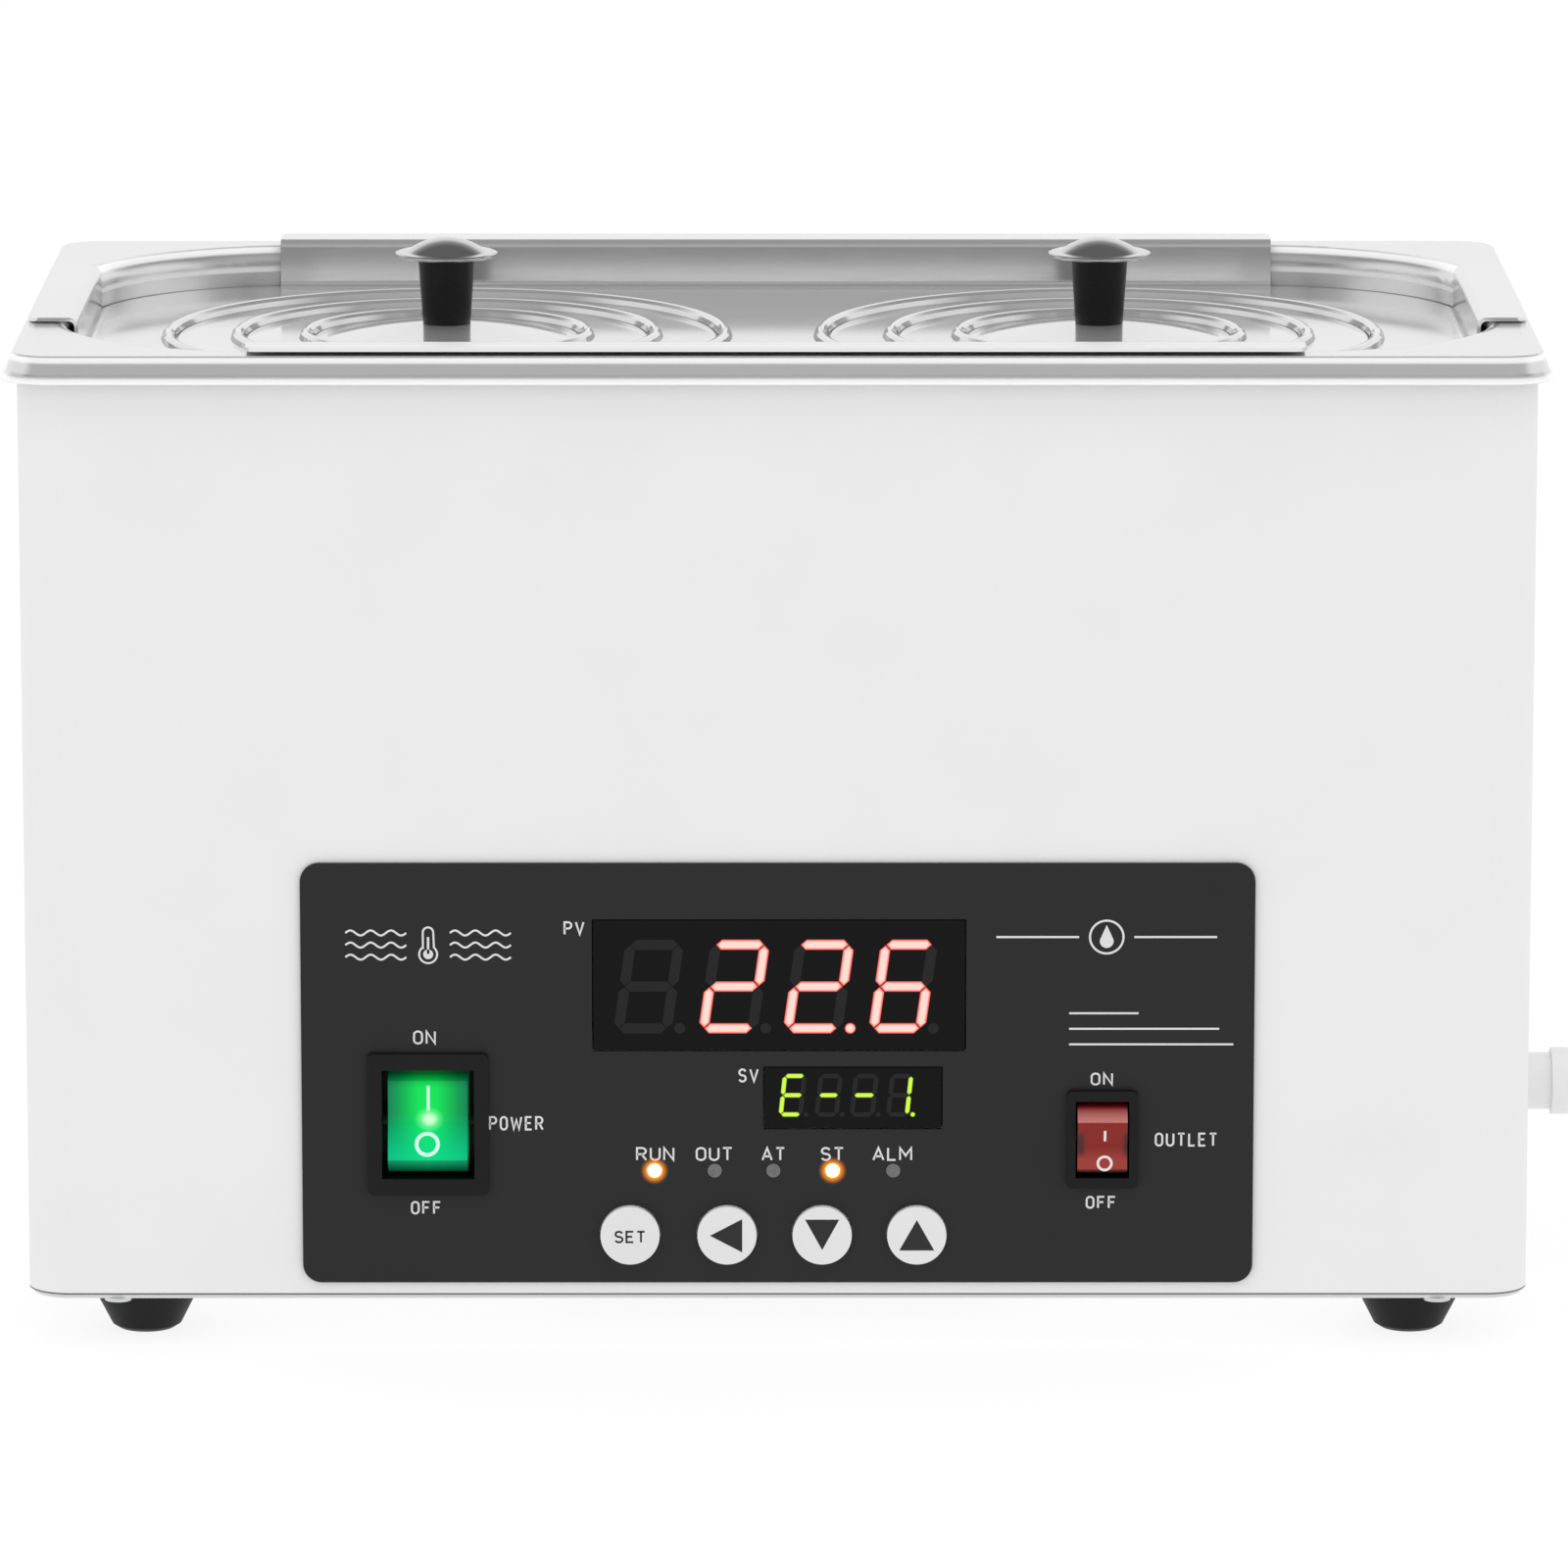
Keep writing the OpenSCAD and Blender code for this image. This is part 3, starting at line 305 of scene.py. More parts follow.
def halo(name, colour, strength):
    """A soft glow that fades out to nothing from its core to its edge."""
    m, nt, b = new_material(name)
    nt.nodes.remove(b)
    out = nt.nodes["Material Output"]
    p = add_math(nt, "POWER", core(nt), 2.2)
    em = nt.nodes.new("ShaderNodeEmission")
    em.inputs["Color"].default_value = (*colour, 1)
    em.inputs["Strength"].default_value = strength
    tr = nt.nodes.new("ShaderNodeBsdfTransparent")
    mix = nt.nodes.new("ShaderNodeMixShader")
    link(nt, p, mix.inputs["Fac"])
    link(nt, tr.outputs["BSDF"], mix.inputs[1])
    link(nt, em.outputs["Emission"], mix.inputs[2])
    link(nt, mix.outputs["Shader"], out.inputs["Surface"])
    return m


# the shadow line between the case and its base plate
SEAM_SHADOW = (10.0, 12.0, [(10.0, grey(1.0)), (10.95, grey(1.0)), (11.0, grey(0.12)), (11.25, grey(0.12)),
                     (11.4, grey(1.0)), (12.0, grey(1.0))])
POWDER = coated("powder_white", grey(0.80), 0.45, 1400.0, 0.00005, 0.012, 0.5, SEAM_SHADOW)
# painted highlights on the lower and upper edges of the tank's turned rim
RIM_EDGE_HIGHLIGHTS = (206.0, 212.4, [(206.0, grey(0.0)), (206.35, grey(0.0)), (206.6, grey(0.9)), (207.3, grey(0.9)),
                            (207.9, grey(0.0)), (210.3, grey(0.0)), (210.8, grey(0.9)), (211.6, grey(0.9)),
                            (211.85, grey(0.0)), (212.4, grey(0.0))])
STEEL_TANK = steel("steel_satin", grey(0.79), 0.17, (0.06, 1, 1), 2600.0, 0.02, 0.000003, band=RIM_EDGE_HIGHLIGHTS)
STEEL_COVER = steel("steel_cover", grey(0.78), 0.09, (0.05, 1, 1), 2200.0, 0.02, 0.000002)
STEEL_RING = steel("steel_ring", grey(0.78), 0.09, (1, 1, 1), 1500.0, 0.02, 0.000002)
STEEL_LID = steel("steel_lid", grey(0.78), 0.08, (1, 1, 1), 1500.0, 0.02, 0.000002)
STEEL_CAP = steel("steel_cap", grey(0.66), 0.14, (1, 1, 1), 1500.0, 0.04, 0.000003, 1.0)
PANEL = coated("panel_film", grey(0.019), 0.42, 2600.0, 0.00002, 0.05, 0.2)
SWITCH_BLACK = coated("switch_nylon", grey(0.008), 0.38, 1800.0, 0.00004, 0.1, 0.16)
WINDOW = coated("display_window", grey(0.002), 0.14, 900.0, 0.000004, 0.05, 0.12)
BUTTON = coated("button_white", grey(0.74), 0.5, 2400.0, 0.00002, 0.02, 0.3)
KNOB = coated("knob_phenolic", grey(0.007), 0.30, 900.0, 0.00003, 0.25, 0.3)
FOOT = coated("foot_rubber", grey(0.006), 0.5, 2400.0, 0.00004, 0.2, 0.2)
SPOUT = coated("spout_nylon", grey(0.84), 0.42, 1300.0, 0.00005, 0.04)
ZINC = metal("zinc_hardware", (0.66, 0.67, 0.69), 0.3)

finish_of = {
    "outer_case": POWDER,
    "base_plate": POWDER,
    "tank": STEEL_TANK,
    "rim_gasket": rubber("gasket_foam", (0.05, 0.05, 0.05), 0.85),
    "tank_jacket": felt("jacket_felt", (0.72, 0.69, 0.62)),
    "heater_tube": steel("heater_sheath", (0.42, 0.40, 0.38), 0.36, (0.2, 1, 1), 1600.0, 0.15),
    "floor_glands": metal("gland_brass", (0.72, 0.55, 0.26), 0.28),
    "drain_valve": metal("valve_brass", (0.70, 0.53, 0.25), 0.32),
    "temperature_probe": metal("probe_steel", (0.70, 0.70, 0.71), 0.18),
    "thermal_cutout": coated("cutout_ceramic", (0.72, 0.68, 0.58), 0.55, 1200.0, 0.00005, 0.08),
    "drain_fitting": coated("fitting_nylon", (0.66, 0.66, 0.65), 0.45, 1200.0, 0.00005, 0.04),
    "drain_nuts": coated("nut_nylon", (0.64, 0.64, 0.63), 0.48, 1200.0, 0.00005, 0.05),
    "drain_hose_upper": rubber("hose_silicone_a", (0.62, 0.62, 0.60), 0.42),
    "drain_hose_lower": rubber("hose_silicone_b", (0.62, 0.62, 0.60), 0.42),
    "valve_coil": coated("coil_black", (0.03, 0.03, 0.032), 0.5, 1500.0, 0.00006, 0.15),
    "drain_spout": SPOUT,
    "fascia_panel": PANEL,
    "pv_display": WINDOW,
    "sv_display": WINDOW,
    "controller_board": board("board_front"),
    "supply_board": board("board_supply"),
    "key_switches": coated("key_black", (0.02, 0.02, 0.02), 0.45, 1500.0, 0.00004, 0.1),
    "power_switch_housing": SWITCH_BLACK,
    "outlet_switch_housing": SWITCH_BLACK,
    "switch_terminals": metal("terminal_tin", (0.66, 0.62, 0.52), 0.3),
    "inlet_pins": metal("pin_nickel", (0.68, 0.66, 0.60), 0.24),
    "solid_state_relay": coated("relay_case", (0.74, 0.70, 0.58), 0.5, 1400.0, 0.00005, 0.06),
    "heat_sink": steel("sink_aluminium", (0.66, 0.67, 0.69), 0.34, (1, 0.05, 1), 1500.0, 0.06),
    "terminal_block": coated("block_nylon", (0.76, 0.73, 0.66), 0.5, 1400.0, 0.00005, 0.06),
    "power_inlet": coated("inlet_black", (0.016, 0.016, 0.017), 0.42, 1700.0, 0.00005, 0.12),
    "fuse_drawer": coated("drawer_black", (0.022, 0.022, 0.023), 0.38, 1700.0, 0.00005, 0.12),
    "fuse": glass("fuse_glass", (0.90, 0.93, 0.93)),
    "wiring_loom": coated("wire_red", (0.40, 0.035, 0.03), 0.35, 1500.0, 0.00004, 0.1),
    "cover_plate": STEEL_COVER,
    "shelf": steel("shelf_steel", (0.66, 0.66, 0.67), 0.24, (0.06, 1, 1), 1300.0, 0.05),
}
for name in ("foot_studs", "base_screws", "inlet_screws", "board_standoffs"):
    finish_of[name] = ZINC
for name in ("set_button", "shift_button", "down_button", "up_button"):
    finish_of[name] = BUTTON
for side in ("left", "right"):
    finish_of["foot_front_" + side] = FOOT
    finish_of["foot_back_" + side] = FOOT
    finish_of["outer_ring_" + side] = STEEL_RING
    finish_of["inner_ring_" + side] = STEEL_RING
    finish_of["centre_lid_" + side] = STEEL_LID
    finish_of["knob_" + side] = KNOB
    finish_of["knob_cap_" + side] = STEEL_CAP


# ---------------------------------------------------------------- rockers and lamps
def lit_rocker():
    """Clear green plastic, lit from behind."""
    m, nt, b = new_material("rocker_green_lit")
    across = add_math(nt, "DIVIDE", from_line(nt, POWER_X), POWER_HALF_W * MM)
    upper = ramp(nt, across, [(0.0, (0.002, 0.80, 0.085)), (0.25, (0.002, 0.74, 0.085)),
                              (0.5, (0.003, 0.52, 0.070)), (0.75, (0.002, 0.32, 0.072)),
                              (1.0, (0.003, 0.20, 0.072))])
    lower = ramp(nt, across, [(0.0, (0.001, 0.72, 0.24)), (0.5, (0.001, 0.62, 0.22)),
                              (1.0, (0.001, 0.50, 0.21))])
    col = mix_colour(nt, rise(nt, 51.0, 42.5), upper, lower)
    # painted shade: darker towards its ends, where the bezel's opening shades them, with a painted shadow
    # line where the lower end turns in
    level = by_height(nt, 36.6, 59.4, [(37.0, grey(0.0)), (38.6, grey(0.10)), (40.0, grey(0.26)),
                                       (41.1, grey(0.42)), (41.25, grey(0.30)), (41.5, grey(1.0)),
                                       (56.4, grey(1.0)), (57.7, grey(0.76)), (58.1, grey(0.5)),
                                       (59.0, grey(0.14))])
    col = mix_colour(nt, 1.0, col, level, "MULTIPLY")
    # the lamp behind shows as a pale spot
    tc = nt.nodes.new("ShaderNodeTexCoord")
    from_spot = nt.nodes.new("ShaderNodeVectorMath")
    from_spot.operation = "SUBTRACT"
    from_spot.inputs[1].default_value = at(-73.4, ROCKER_FACE_Y, 49.7)
    link(nt, tc.outputs["Object"], from_spot.inputs[0])
    in_radii = nt.nodes.new("ShaderNodeVectorMath")
    in_radii.operation = "MULTIPLY"
    in_radii.inputs[1].default_value = (320.0, 0.0, 370.0)
    link(nt, from_spot.outputs["Vector"], in_radii.inputs[0])
    away = nt.nodes.new("ShaderNodeVectorMath")
    away.operation = "LENGTH"
    link(nt, in_radii.outputs["Vector"], away.inputs[0])
    spot = ramp(nt, away.outputs["Value"], [(0.0, (0.78, 0.28, 0.62)), (0.28, (0.60, 0.24, 0.48)),
                                            (0.6, (0.10, 0.14, 0.14)), (1.0, grey(0.0))])
    col = mix_colour(nt, 1.0, col, spot, "ADD")
    # the hinge pins beyond its sides stay dark
    pins = ramp(nt, remap(nt, across, 0.0, 1.0, 0.99, 1.01), [(0.0, grey(1.0)), (1.0, grey(0.0))])
    col = mix_colour(nt, 1.0, col, pins, "MULTIPLY")
    b.inputs["Base Color"].default_value = (0.0, 0.03, 0.015, 1)
    b.inputs["Specular IOR Level"].default_value = 0.12
    link(nt, col, b.inputs["Emission Color"])
    b.inputs["Emission Strength"].default_value = 0.98
    n = noise(nt, coords(nt, (1, 1, 0.1)), 1100.0)
    link(nt, remap(nt, n, 0.18, 0.3), b.inputs["Roughness"])
    bump(nt, b, n, 0.2, 0.00002)
    return m


def red_rocker():
    """Clear red plastic over a grid of small lens dots, with no lamp behind it. Its light and shade are
    painted by height.
    """
    m, nt, b = new_material("rocker_red")
    grid = nt.nodes.new("ShaderNodeTexVoronoi")
    grid.inputs["Scale"].default_value = 1500.0
    grid.inputs["Randomness"].default_value = 0.0
    link(nt, coords(nt), grid.inputs["Vector"])
    # painted light by height: dark at both ends, where the opening shades them, a pale pink painted
    # highlight across the upper half, which leans out, and lighter from 38.9 to 41 mm
    col = by_height(nt, 36.5, 53.5, [
        (36.9, (0.09, 0.03, 0.027)), (38.6, (0.16, 0.05, 0.045)), (38.9, (0.37, 0.052, 0.042)),
        (41.0, (0.36, 0.050, 0.042)), (43.6, (0.25, 0.024, 0.020)), (49.2, (0.25, 0.022, 0.018)),
        (49.4, (0.56, 0.19, 0.17)), (50.7, (0.44, 0.13, 0.12)), (51.7, (0.31, 0.05, 0.05)),
        (52.3, (0.14, 0.002, 0.004)), (53.2, (0.06, 0.0, 0.0))])
    dots = ramp(nt, grid.outputs["Distance"], [(0.0, grey(1.22)), (0.25, grey(1.0)), (0.6, grey(0.86))])
    dotted = mix_colour(nt, 1.0, col, dots, "MULTIPLY")
    downwards = ramp(nt, rise(nt, 46.5, 42.0), [(0.0, grey(0.0)), (1.0, grey(0.8))])
    col = mix_colour(nt, downwards, col, dotted)
    # see-through sides show the dark hinge behind them
    across = add_math(nt, "DIVIDE", from_line(nt, OUTLET_X), OUTLET_HALF_W * MM)
    sides = ramp(nt, across, [(0.70, grey(0.0)), (0.86, grey(1.0))])
    level = ramp(nt, rise(nt, 41.2, 47.4), [(0.0, grey(0.0)), (0.25, grey(1.0)), (0.75, grey(1.0)),
                                            (1.0, grey(0.0))])
    hinge = mix_colour(nt, 1.0, sides, level, "MULTIPLY")
    link(nt, mix_colour(nt, hinge, col, (0.075, 0.025, 0.03)), b.inputs["Base Color"])
    b.inputs["Specular IOR Level"].default_value = 0.12
    link(nt, remap(nt, grid.outputs["Distance"], 0.16, 0.3, 0.0, 0.6), b.inputs["Roughness"])
    bump(nt, b, grid.outputs["Distance"], 0.2, 0.00004)
    return m


def lamp_lenses():
    """Grey lenses. Those in LIT_LAMPS shine."""
    m, nt, b = new_material("lamp_lens")
    lit = [add_math(nt, "LESS_THAN", from_line(nt, x), 0.003) for x in LIT_LAMPS]
    n = noise(nt, coords(nt), 1500.0)
    link(nt, ramp(nt, n, [(0.3, grey(0.11)), (0.7, grey(0.15))]), b.inputs["Base Color"])
    b.inputs["Emission Color"].default_value = (1.0, 0.80, 0.42, 1)
    link(nt, add_math(nt, "MULTIPLY", add_math(nt, "ADD", *lit), 3.0), b.inputs["Emission Strength"])
    link(nt, remap(nt, n, 0.2, 0.35), b.inputs["Roughness"])
    return m


finish_of["power_rocker"] = lit_rocker()
finish_of["outlet_rocker"] = red_rocker()
finish_of["indicator_lamps"] = lamp_lenses()

for name, obj in nodes.items():
    if obj.material_slots:
        for material_slot in obj.material_slots:
            material_slot.material = finish_of[name]
    else:
        obj.data.materials.append(finish_of[name])


# ---------------------------------------------------------------- mesh helpers
def make(name, verts, faces, mat, body, cores=None):
    me = bpy.data.meshes.new(name)
    me.from_pydata([tuple(v) for v in verts], [], faces)
    me.update()
    if cores is not None:
        a = me.attributes.new(CORE, "FLOAT", "POINT")
        for i, v in enumerate(cores):
            a.data[i].value = v
    ob = bpy.data.objects.new(name, me)
    bpy.context.scene.collection.objects.link(ob)
    ob.data.materials.append(mat)
    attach(ob, body)


class Flat:
    """Collects flat shapes drawn in millimetres on an upright plane that faces -Y."""

    def __init__(self, y):
        self.y = y
        self.verts, self.faces, self.cores = [], [], []

    def point(self, x, z, core_value=0.0):
        self.verts.append(Vector((MID_X + x * MM, self.y, z * MM)))
        self.cores.append(core_value)
        return len(self.verts) - 1

    def circle(self, cx, cz, r, n, core_value):
        """The points round a circle."""
        return [self.point(x, z, core_value) for x, z in arc(cx, cz, r, 0, 360, n)[:-1]]

    def band(self, inner, outer):
        """Faces between two circles of as many points."""
        n = len(inner)
        for i in range(n):
            j = (i + 1) % n
            self.faces.append([outer[i], outer[j], inner[j], inner[i]])

    def poly(self, pts):
        idx = [self.point(x, z) for x, z in pts]
        area = sum(pts[i][0] * pts[(i + 1) % len(pts)][1] - pts[(i + 1) % len(pts)][0] * pts[i][1]
                   for i in range(len(pts)))
        if area < 0:
            idx.reverse()
        self.faces.append(idx)

    def disc(self, cx, cz, r):
        self.poly(arc(cx, cz, r, 0, 360, 24)[:-1])

    def ring(self, cx, cz, r_in, r_out):
        inner, outer = arc(cx, cz, r_in, 0, 360, 48), arc(cx, cz, r_out, 0, 360, 48)
        for i in range(48):
            self.poly([inner[i], outer[i], outer[i + 1], inner[i + 1]])

    def stroke(self, pts, w, closed=False):
        """A line of constant width through points, as one strip with mitred corners."""
        n = len(pts)
        left, right = [], []
        for i in range(n):
            if closed:
                p0, p1, p2 = pts[i - 1], pts[i], pts[(i + 1) % n]
            else:
                p0, p1, p2 = pts[max(i - 1, 0)], pts[i], pts[min(i + 1, n - 1)]
            d1 = Vector((p1[0] - p0[0], p1[1] - p0[1]))
            d2 = Vector((p2[0] - p1[0], p2[1] - p1[1]))
            if d1.length < 1e-9:
                d1 = d2
            if d2.length < 1e-9:
                d2 = d1
            d1.normalize()
            d2.normalize()
            n1, n2 = Vector((-d1.y, d1.x)), Vector((-d2.y, d2.x))
            m = n1 + n2
            if m.length < 1e-6:
                m = n1
            m.normalize()
            k = min(1.0 / max(m.dot(n1), 0.35), 2.5) * w / 2
            left.append((p1[0] + m.x * k, p1[1] + m.y * k))
            right.append((p1[0] - m.x * k, p1[1] - m.y * k))
        for i in range(n if closed else n - 1):
            j = (i + 1) % n
            self.poly([left[i], right[i], right[j], left[j]])

    def build(self, name, mat, body, slot, lit=False):
        make(name, self.verts, self.faces, mat, body, self.cores if lit else None)


def arc(cx, cz, r, a0, a1, n=10):
    """Points along an arc from a0 to a1 degrees, both ends included."""
    return [(cx + r * math.cos(math.radians(a0 + (a1 - a0) * i / n)),
             cz + r * math.sin(math.radians(a0 + (a1 - a0) * i / n))) for i in range(n + 1)]


# Plain letters in a box one unit tall: the width, and the strokes, each with whether it is closed
BOWL = [(0, 0), (0, 1)] + arc(0.28, 0.74, 0.26, 90, -90) + [(0, 0.48)]
LETTERS = {
    "A": (0.62, [([(0, 0), (0.31, 1), (0.62, 0)], False), ([(0.12, 0.3), (0.5, 0.3)], False)]),
    "E": (0.5, [([(0.5, 1), (0, 1), (0, 0), (0.5, 0)], False), ([(0, 0.52), (0.42, 0.52)], False)]),
    "F": (0.5, [([(0.5, 1), (0, 1), (0, 0)], False), ([(0, 0.52), (0.42, 0.52)], False)]),
    "L": (0.46, [([(0, 1), (0, 0), (0.46, 0)], False)]),
    "M": (0.68, [([(0, 0), (0, 1), (0.34, 0.35), (0.68, 1), (0.68, 0)], False)]),
    "N": (0.56, [([(0, 0), (0, 1), (0.56, 0), (0.56, 1)], False)]),
    "O": (0.54, [(arc(0.27, 0.73, 0.27, 0, 180) + arc(0.27, 0.27, 0.27, 180, 360), True)]),
    "P": (0.54, [(BOWL, False)]),
    "R": (0.56, [(BOWL, False), ([(0.28, 0.48), (0.56, 0)], False)]),
    "S": (0.52, [(arc(0.26, 0.75, 0.25, 20, 270, 12) + arc(0.26, 0.25, 0.26, 90, -160, 12), False)]),
    "T": (0.54, [([(0, 1), (0.54, 1)], False), ([(0.27, 1), (0.27, 0)], False)]),
    "U": (0.54, [([(0, 1)] + arc(0.27, 0.27, 0.27, 180, 360, 12) + [(0.54, 1)], False)]),
    "V": (0.6, [([(0, 1), (0.3, 0), (0.6, 1)], False)]),
    "W": (0.86, [([(0, 1), (0.2, 0), (0.43, 0.8), (0.66, 0), (0.86, 1)], False)]),
}


def word(flat, text, x0, x1, z0, z1, w=0.41, gap=0.55):
    """Writes a word so that its letters fill x0..x1 and z0..z1, measured over the ink."""
    widths = [LETTERS[c][0] for c in text]
    h = z1 - z0 - w
    space = gap + w
    stretch = (x1 - x0 - w - space * (len(text) - 1)) / sum(widths)
    x = x0 + w / 2
    for c, wide in zip(text, widths):
        for pts, closed in LETTERS[c][1]:
            flat.stroke([(x + px * stretch, z0 + w / 2 + pz * h) for px, pz in pts], w, closed)
        x += wide * stretch + space


# ---------------------------------------------------------------- panel printing
def ink(name, base, rough=0.5, spec=0.5):
    return coated(name, base, rough, 3000.0, 0.00001, 0.03, spec)


WHITE_INK = ink("legend_white", grey(0.70))
DARK_INK = ink("legend_dark", (0.026, 0.026, 0.027), 0.5, 0.2)

# Each word with the box that its ink fills: x0, x1, z0, z1
LEGENDS = (
    ("ON", -76.8, -72.0, 65.5, 68.5), ("OFF", -77.5, -71.1, 28.7, 31.6), ("POWER", -60.9, -49.4, 46.9, 50.0),
    ("ON", 66.0, 70.7, 56.6, 59.4), ("OFF", 65.1, 71.5, 29.9, 32.7), ("OUTLET", 79.6, 92.8, 43.4, 46.4),
    ("PV", -45.0, -40.6, 89.0, 92.0), ("SV", -8.3, -4.0, 57.3, 60.3),
    ("RUN", -29.9, -21.8, 40.3, 43.3), ("OUT", -17.3, -9.5, 40.3, 43.3), ("AT", -3.4, 1.6, 40.3, 43.3),
    ("ST", 9.1, 14.0, 40.3, 43.3), ("ALM", 20.0, 28.4, 40.3, 43.3),
)
front = Flat(PANEL_Y - PRINT_LIFT)
for text, *box in LEGENDS:
    word(front, text, *box)

# top left: a thermometer between two sets of waves
THERMOMETER_X, BULB_Z, STEM_TOP_Z = -73.5, 84.9, 89.6
front.stroke(arc(THERMOMETER_X, STEM_TOP_Z, 1.1, 0, 180) + [(THERMOMETER_X - 1.1, 86.3)]
             + arc(THERMOMETER_X, BULB_Z, 1.9, 130, 410, 16) + [(THERMOMETER_X + 1.1, STEM_TOP_Z)], 0.4)
front.disc(THERMOMETER_X, BULB_Z, 1.05)
front.stroke([(THERMOMETER_X, 85.0), (THERMOMETER_X, 88.6)], 0.5)
WAVE_LENGTH, WAVE_RISE, WAVE_STEP, WAVE_POINTS = 4.27, 0.55, 0.4, 33
wave = [(i * WAVE_STEP, WAVE_RISE * math.sin(2 * math.pi * i * WAVE_STEP / WAVE_LENGTH))
        for i in range(WAVE_POINTS)]
for start in (THERMOMETER_X - 17.4, THERMOMETER_X + 4.6):
    for level in (84.3, 86.9, 89.5):
        front.stroke([(start + x, level + z) for x, z in wave], 0.42)

# top right: a ringed drop between two rules, over three plain rules
DROP_X, DROP_Z = 69.2, 88.6
front.ring(DROP_X, DROP_Z, 3.3, 3.75)
front.poly([(DROP_X, DROP_Z + 2.6)] + arc(DROP_X, DROP_Z - 0.9, 1.45, 32, -212, 18))
for x0, x1, z, w in ((46.0, 63.4, DROP_Z, 0.45), (75.0, 92.4, DROP_Z, 0.45),
                     (61.4, 76.0, 72.2, 0.42), (61.4, 93.0, 68.85, 0.42), (61.4, 96.0, 65.5, 0.42)):
    front.stroke([(x0, z), (x1, z)], w)
front.build("panel_legends", WHITE_INK, "cabinet", "panel_film")

# ---------------------------------------------------------------- seven-segment digits
# Each segment from end to end, in a box one unit wide and tall
SEGMENTS = {
    "a": ((0, 1), (1, 1)), "b": ((1, 1), (1, 0.5)), "c": ((1, 0.5), (1, 0)), "d": ((1, 0), (0, 0)),
    "e": ((0, 0), (0, 0.5)), "f": ((0, 0.5), (0, 1)), "g": ((0, 0.5), (1, 0.5)),
}
DOT_POINTS = 20


def digit(lit_flat, off_flat, lit, x0, x1, z0, z1, w, slant, dot, gap):
    """One digit and its point. x0 and x1 are its outer limits at mid height, before the slant."""
    middle = (z0 + z1) / 2
    half = w / 2

    def corner(u, v):
        return x0 + half + u * (x1 - x0 - w), z0 + half + v * (z1 - z0 - w)

    for key, (p, q) in SEGMENTS.items():
        flat = lit_flat if key in lit else off_flat
        ax, az = corner(*p)
        bx, bz = corner(*q)
        d = Vector((bx - ax, bz - az))
        length = d.length
        d.normalize()
        n = Vector((-d.y, d.x))
        core_w = w * 0.26
        outline = [(gap, 0), (gap + half, -half), (length - gap - half, -half), (length - gap, 0),
                   (length - gap - half, half), (gap + half, half)]
        core_line = [(gap + w * 0.34, 0), (gap + half + 0.05, -core_w),
                     (length - gap - half - 0.05, -core_w), (length - gap - w * 0.34, 0),
                     (length - gap - half - 0.05, core_w), (gap + half + 0.05, core_w)]

        def put(along, across, core_value):
            z = az + d.y * along + n.y * across
            return flat.point(ax + d.x * along + n.x * across + (z - middle) * slant, z, core_value)

        outer = [put(along, across, 0.0) for along, across in outline]
        inner = [put(along, across, 1.0) for along, across in core_line]
        flat.band(inner, outer)
        flat.faces.append(inner)
    flat = lit_flat if dot else off_flat
    cx, cz = x1 + w * 0.75 - ((z1 - z0) / 2 - half) * slant, z0 + half
    r = w * 0.52
    centre = flat.point(cx, cz, 1.0)
    outer = flat.circle(cx, cz, r, DOT_POINTS, 0.0)
    inner = flat.circle(cx, cz, r * 0.6, DOT_POINTS, 1.0)
    flat.band(inner, outer)
    for i in range(DOT_POINTS):
        flat.faces.append([inner[i], inner[(i + 1) % DOT_POINTS], centre])


def display(name, node, glow_material, digits, z0, z1, w, slant, gap):
    """Four digits, each given as its lit segments, its x0 and x1, and whether its point is lit."""
    face_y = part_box(node)[0].y
    lit_flat, off_flat = Flat(face_y - LIT_LIFT), Flat(face_y - PRINT_LIFT)
    for lit, x0, x1, dot in digits:
        digit(lit_flat, off_flat, lit, x0, x1, z0, z1, w, math.tan(math.radians(slant)), dot, gap)
    lit_flat.build(name + "_digits_lit", glow_material, "cabinet", "display_face", True)
    off_flat.build(name + "_digits_off", GREY_OFF, "cabinet", "display_face")


RED_LIT = glow("digit_red", [(0.0, (0.75, 0.02, 0.015)), (0.45, (1.0, 0.22, 0.17)),
                             (1.0, (1.0, 0.64, 0.57))], 1.05)
GREEN_LIT = glow("digit_green", [(0.0, (0.20, 0.32, 0.0)), (0.5, (0.42, 0.75, 0.0)),
                                 (1.0, (0.62, 0.98, 0.02))], 1.0)
GREY_OFF = ink("digit_off", grey(0.017), 0.4, 0.12)
display("pv", "pv_display", RED_LIT, (("", -33.3, -21.0, False), ("abged", -15.4, -2.9, False),
                                      ("abged", 2.4, 14.9, True), ("acdefg", 20.4, 32.4, False)),
        67.8, 88.0, 2.2, 8, 0.12)
display("sv", "sv_display", GREEN_LIT, (("adefg", 0.6, 5.7, False), ("g", 8.2, 13.3, False),
                                        ("g", 15.6, 20.9, False), ("bc", 23.3, 28.2, True)),
        49.8, 59.1, 0.98, 6, 0.08)

# ---------------------------------------------------------------- button marks
BUTTON_MARKS = {
    "set": None,
    "shift": [(-14.3, 24.4), (-7.5, 28.0), (-7.5, 20.8)],
    "down": [(5.8, 27.9), (13.0, 27.9), (9.4, 21.3)],
    "up": [(25.7, 21.2), (33.1, 21.2), (29.4, 27.8)],
}
for name, arrow in BUTTON_MARKS.items():
    mark = Flat(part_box(name + "_button")[0].y - PRINT_LIFT)
    if arrow:
        mark.poly(arrow)
    else:
        word(mark, "SET", -34.5, -27.9, 22.8, 25.5, 0.42, 0.42)
    mark.build(name + "_mark", DARK_INK, name + "_button", "button_white")

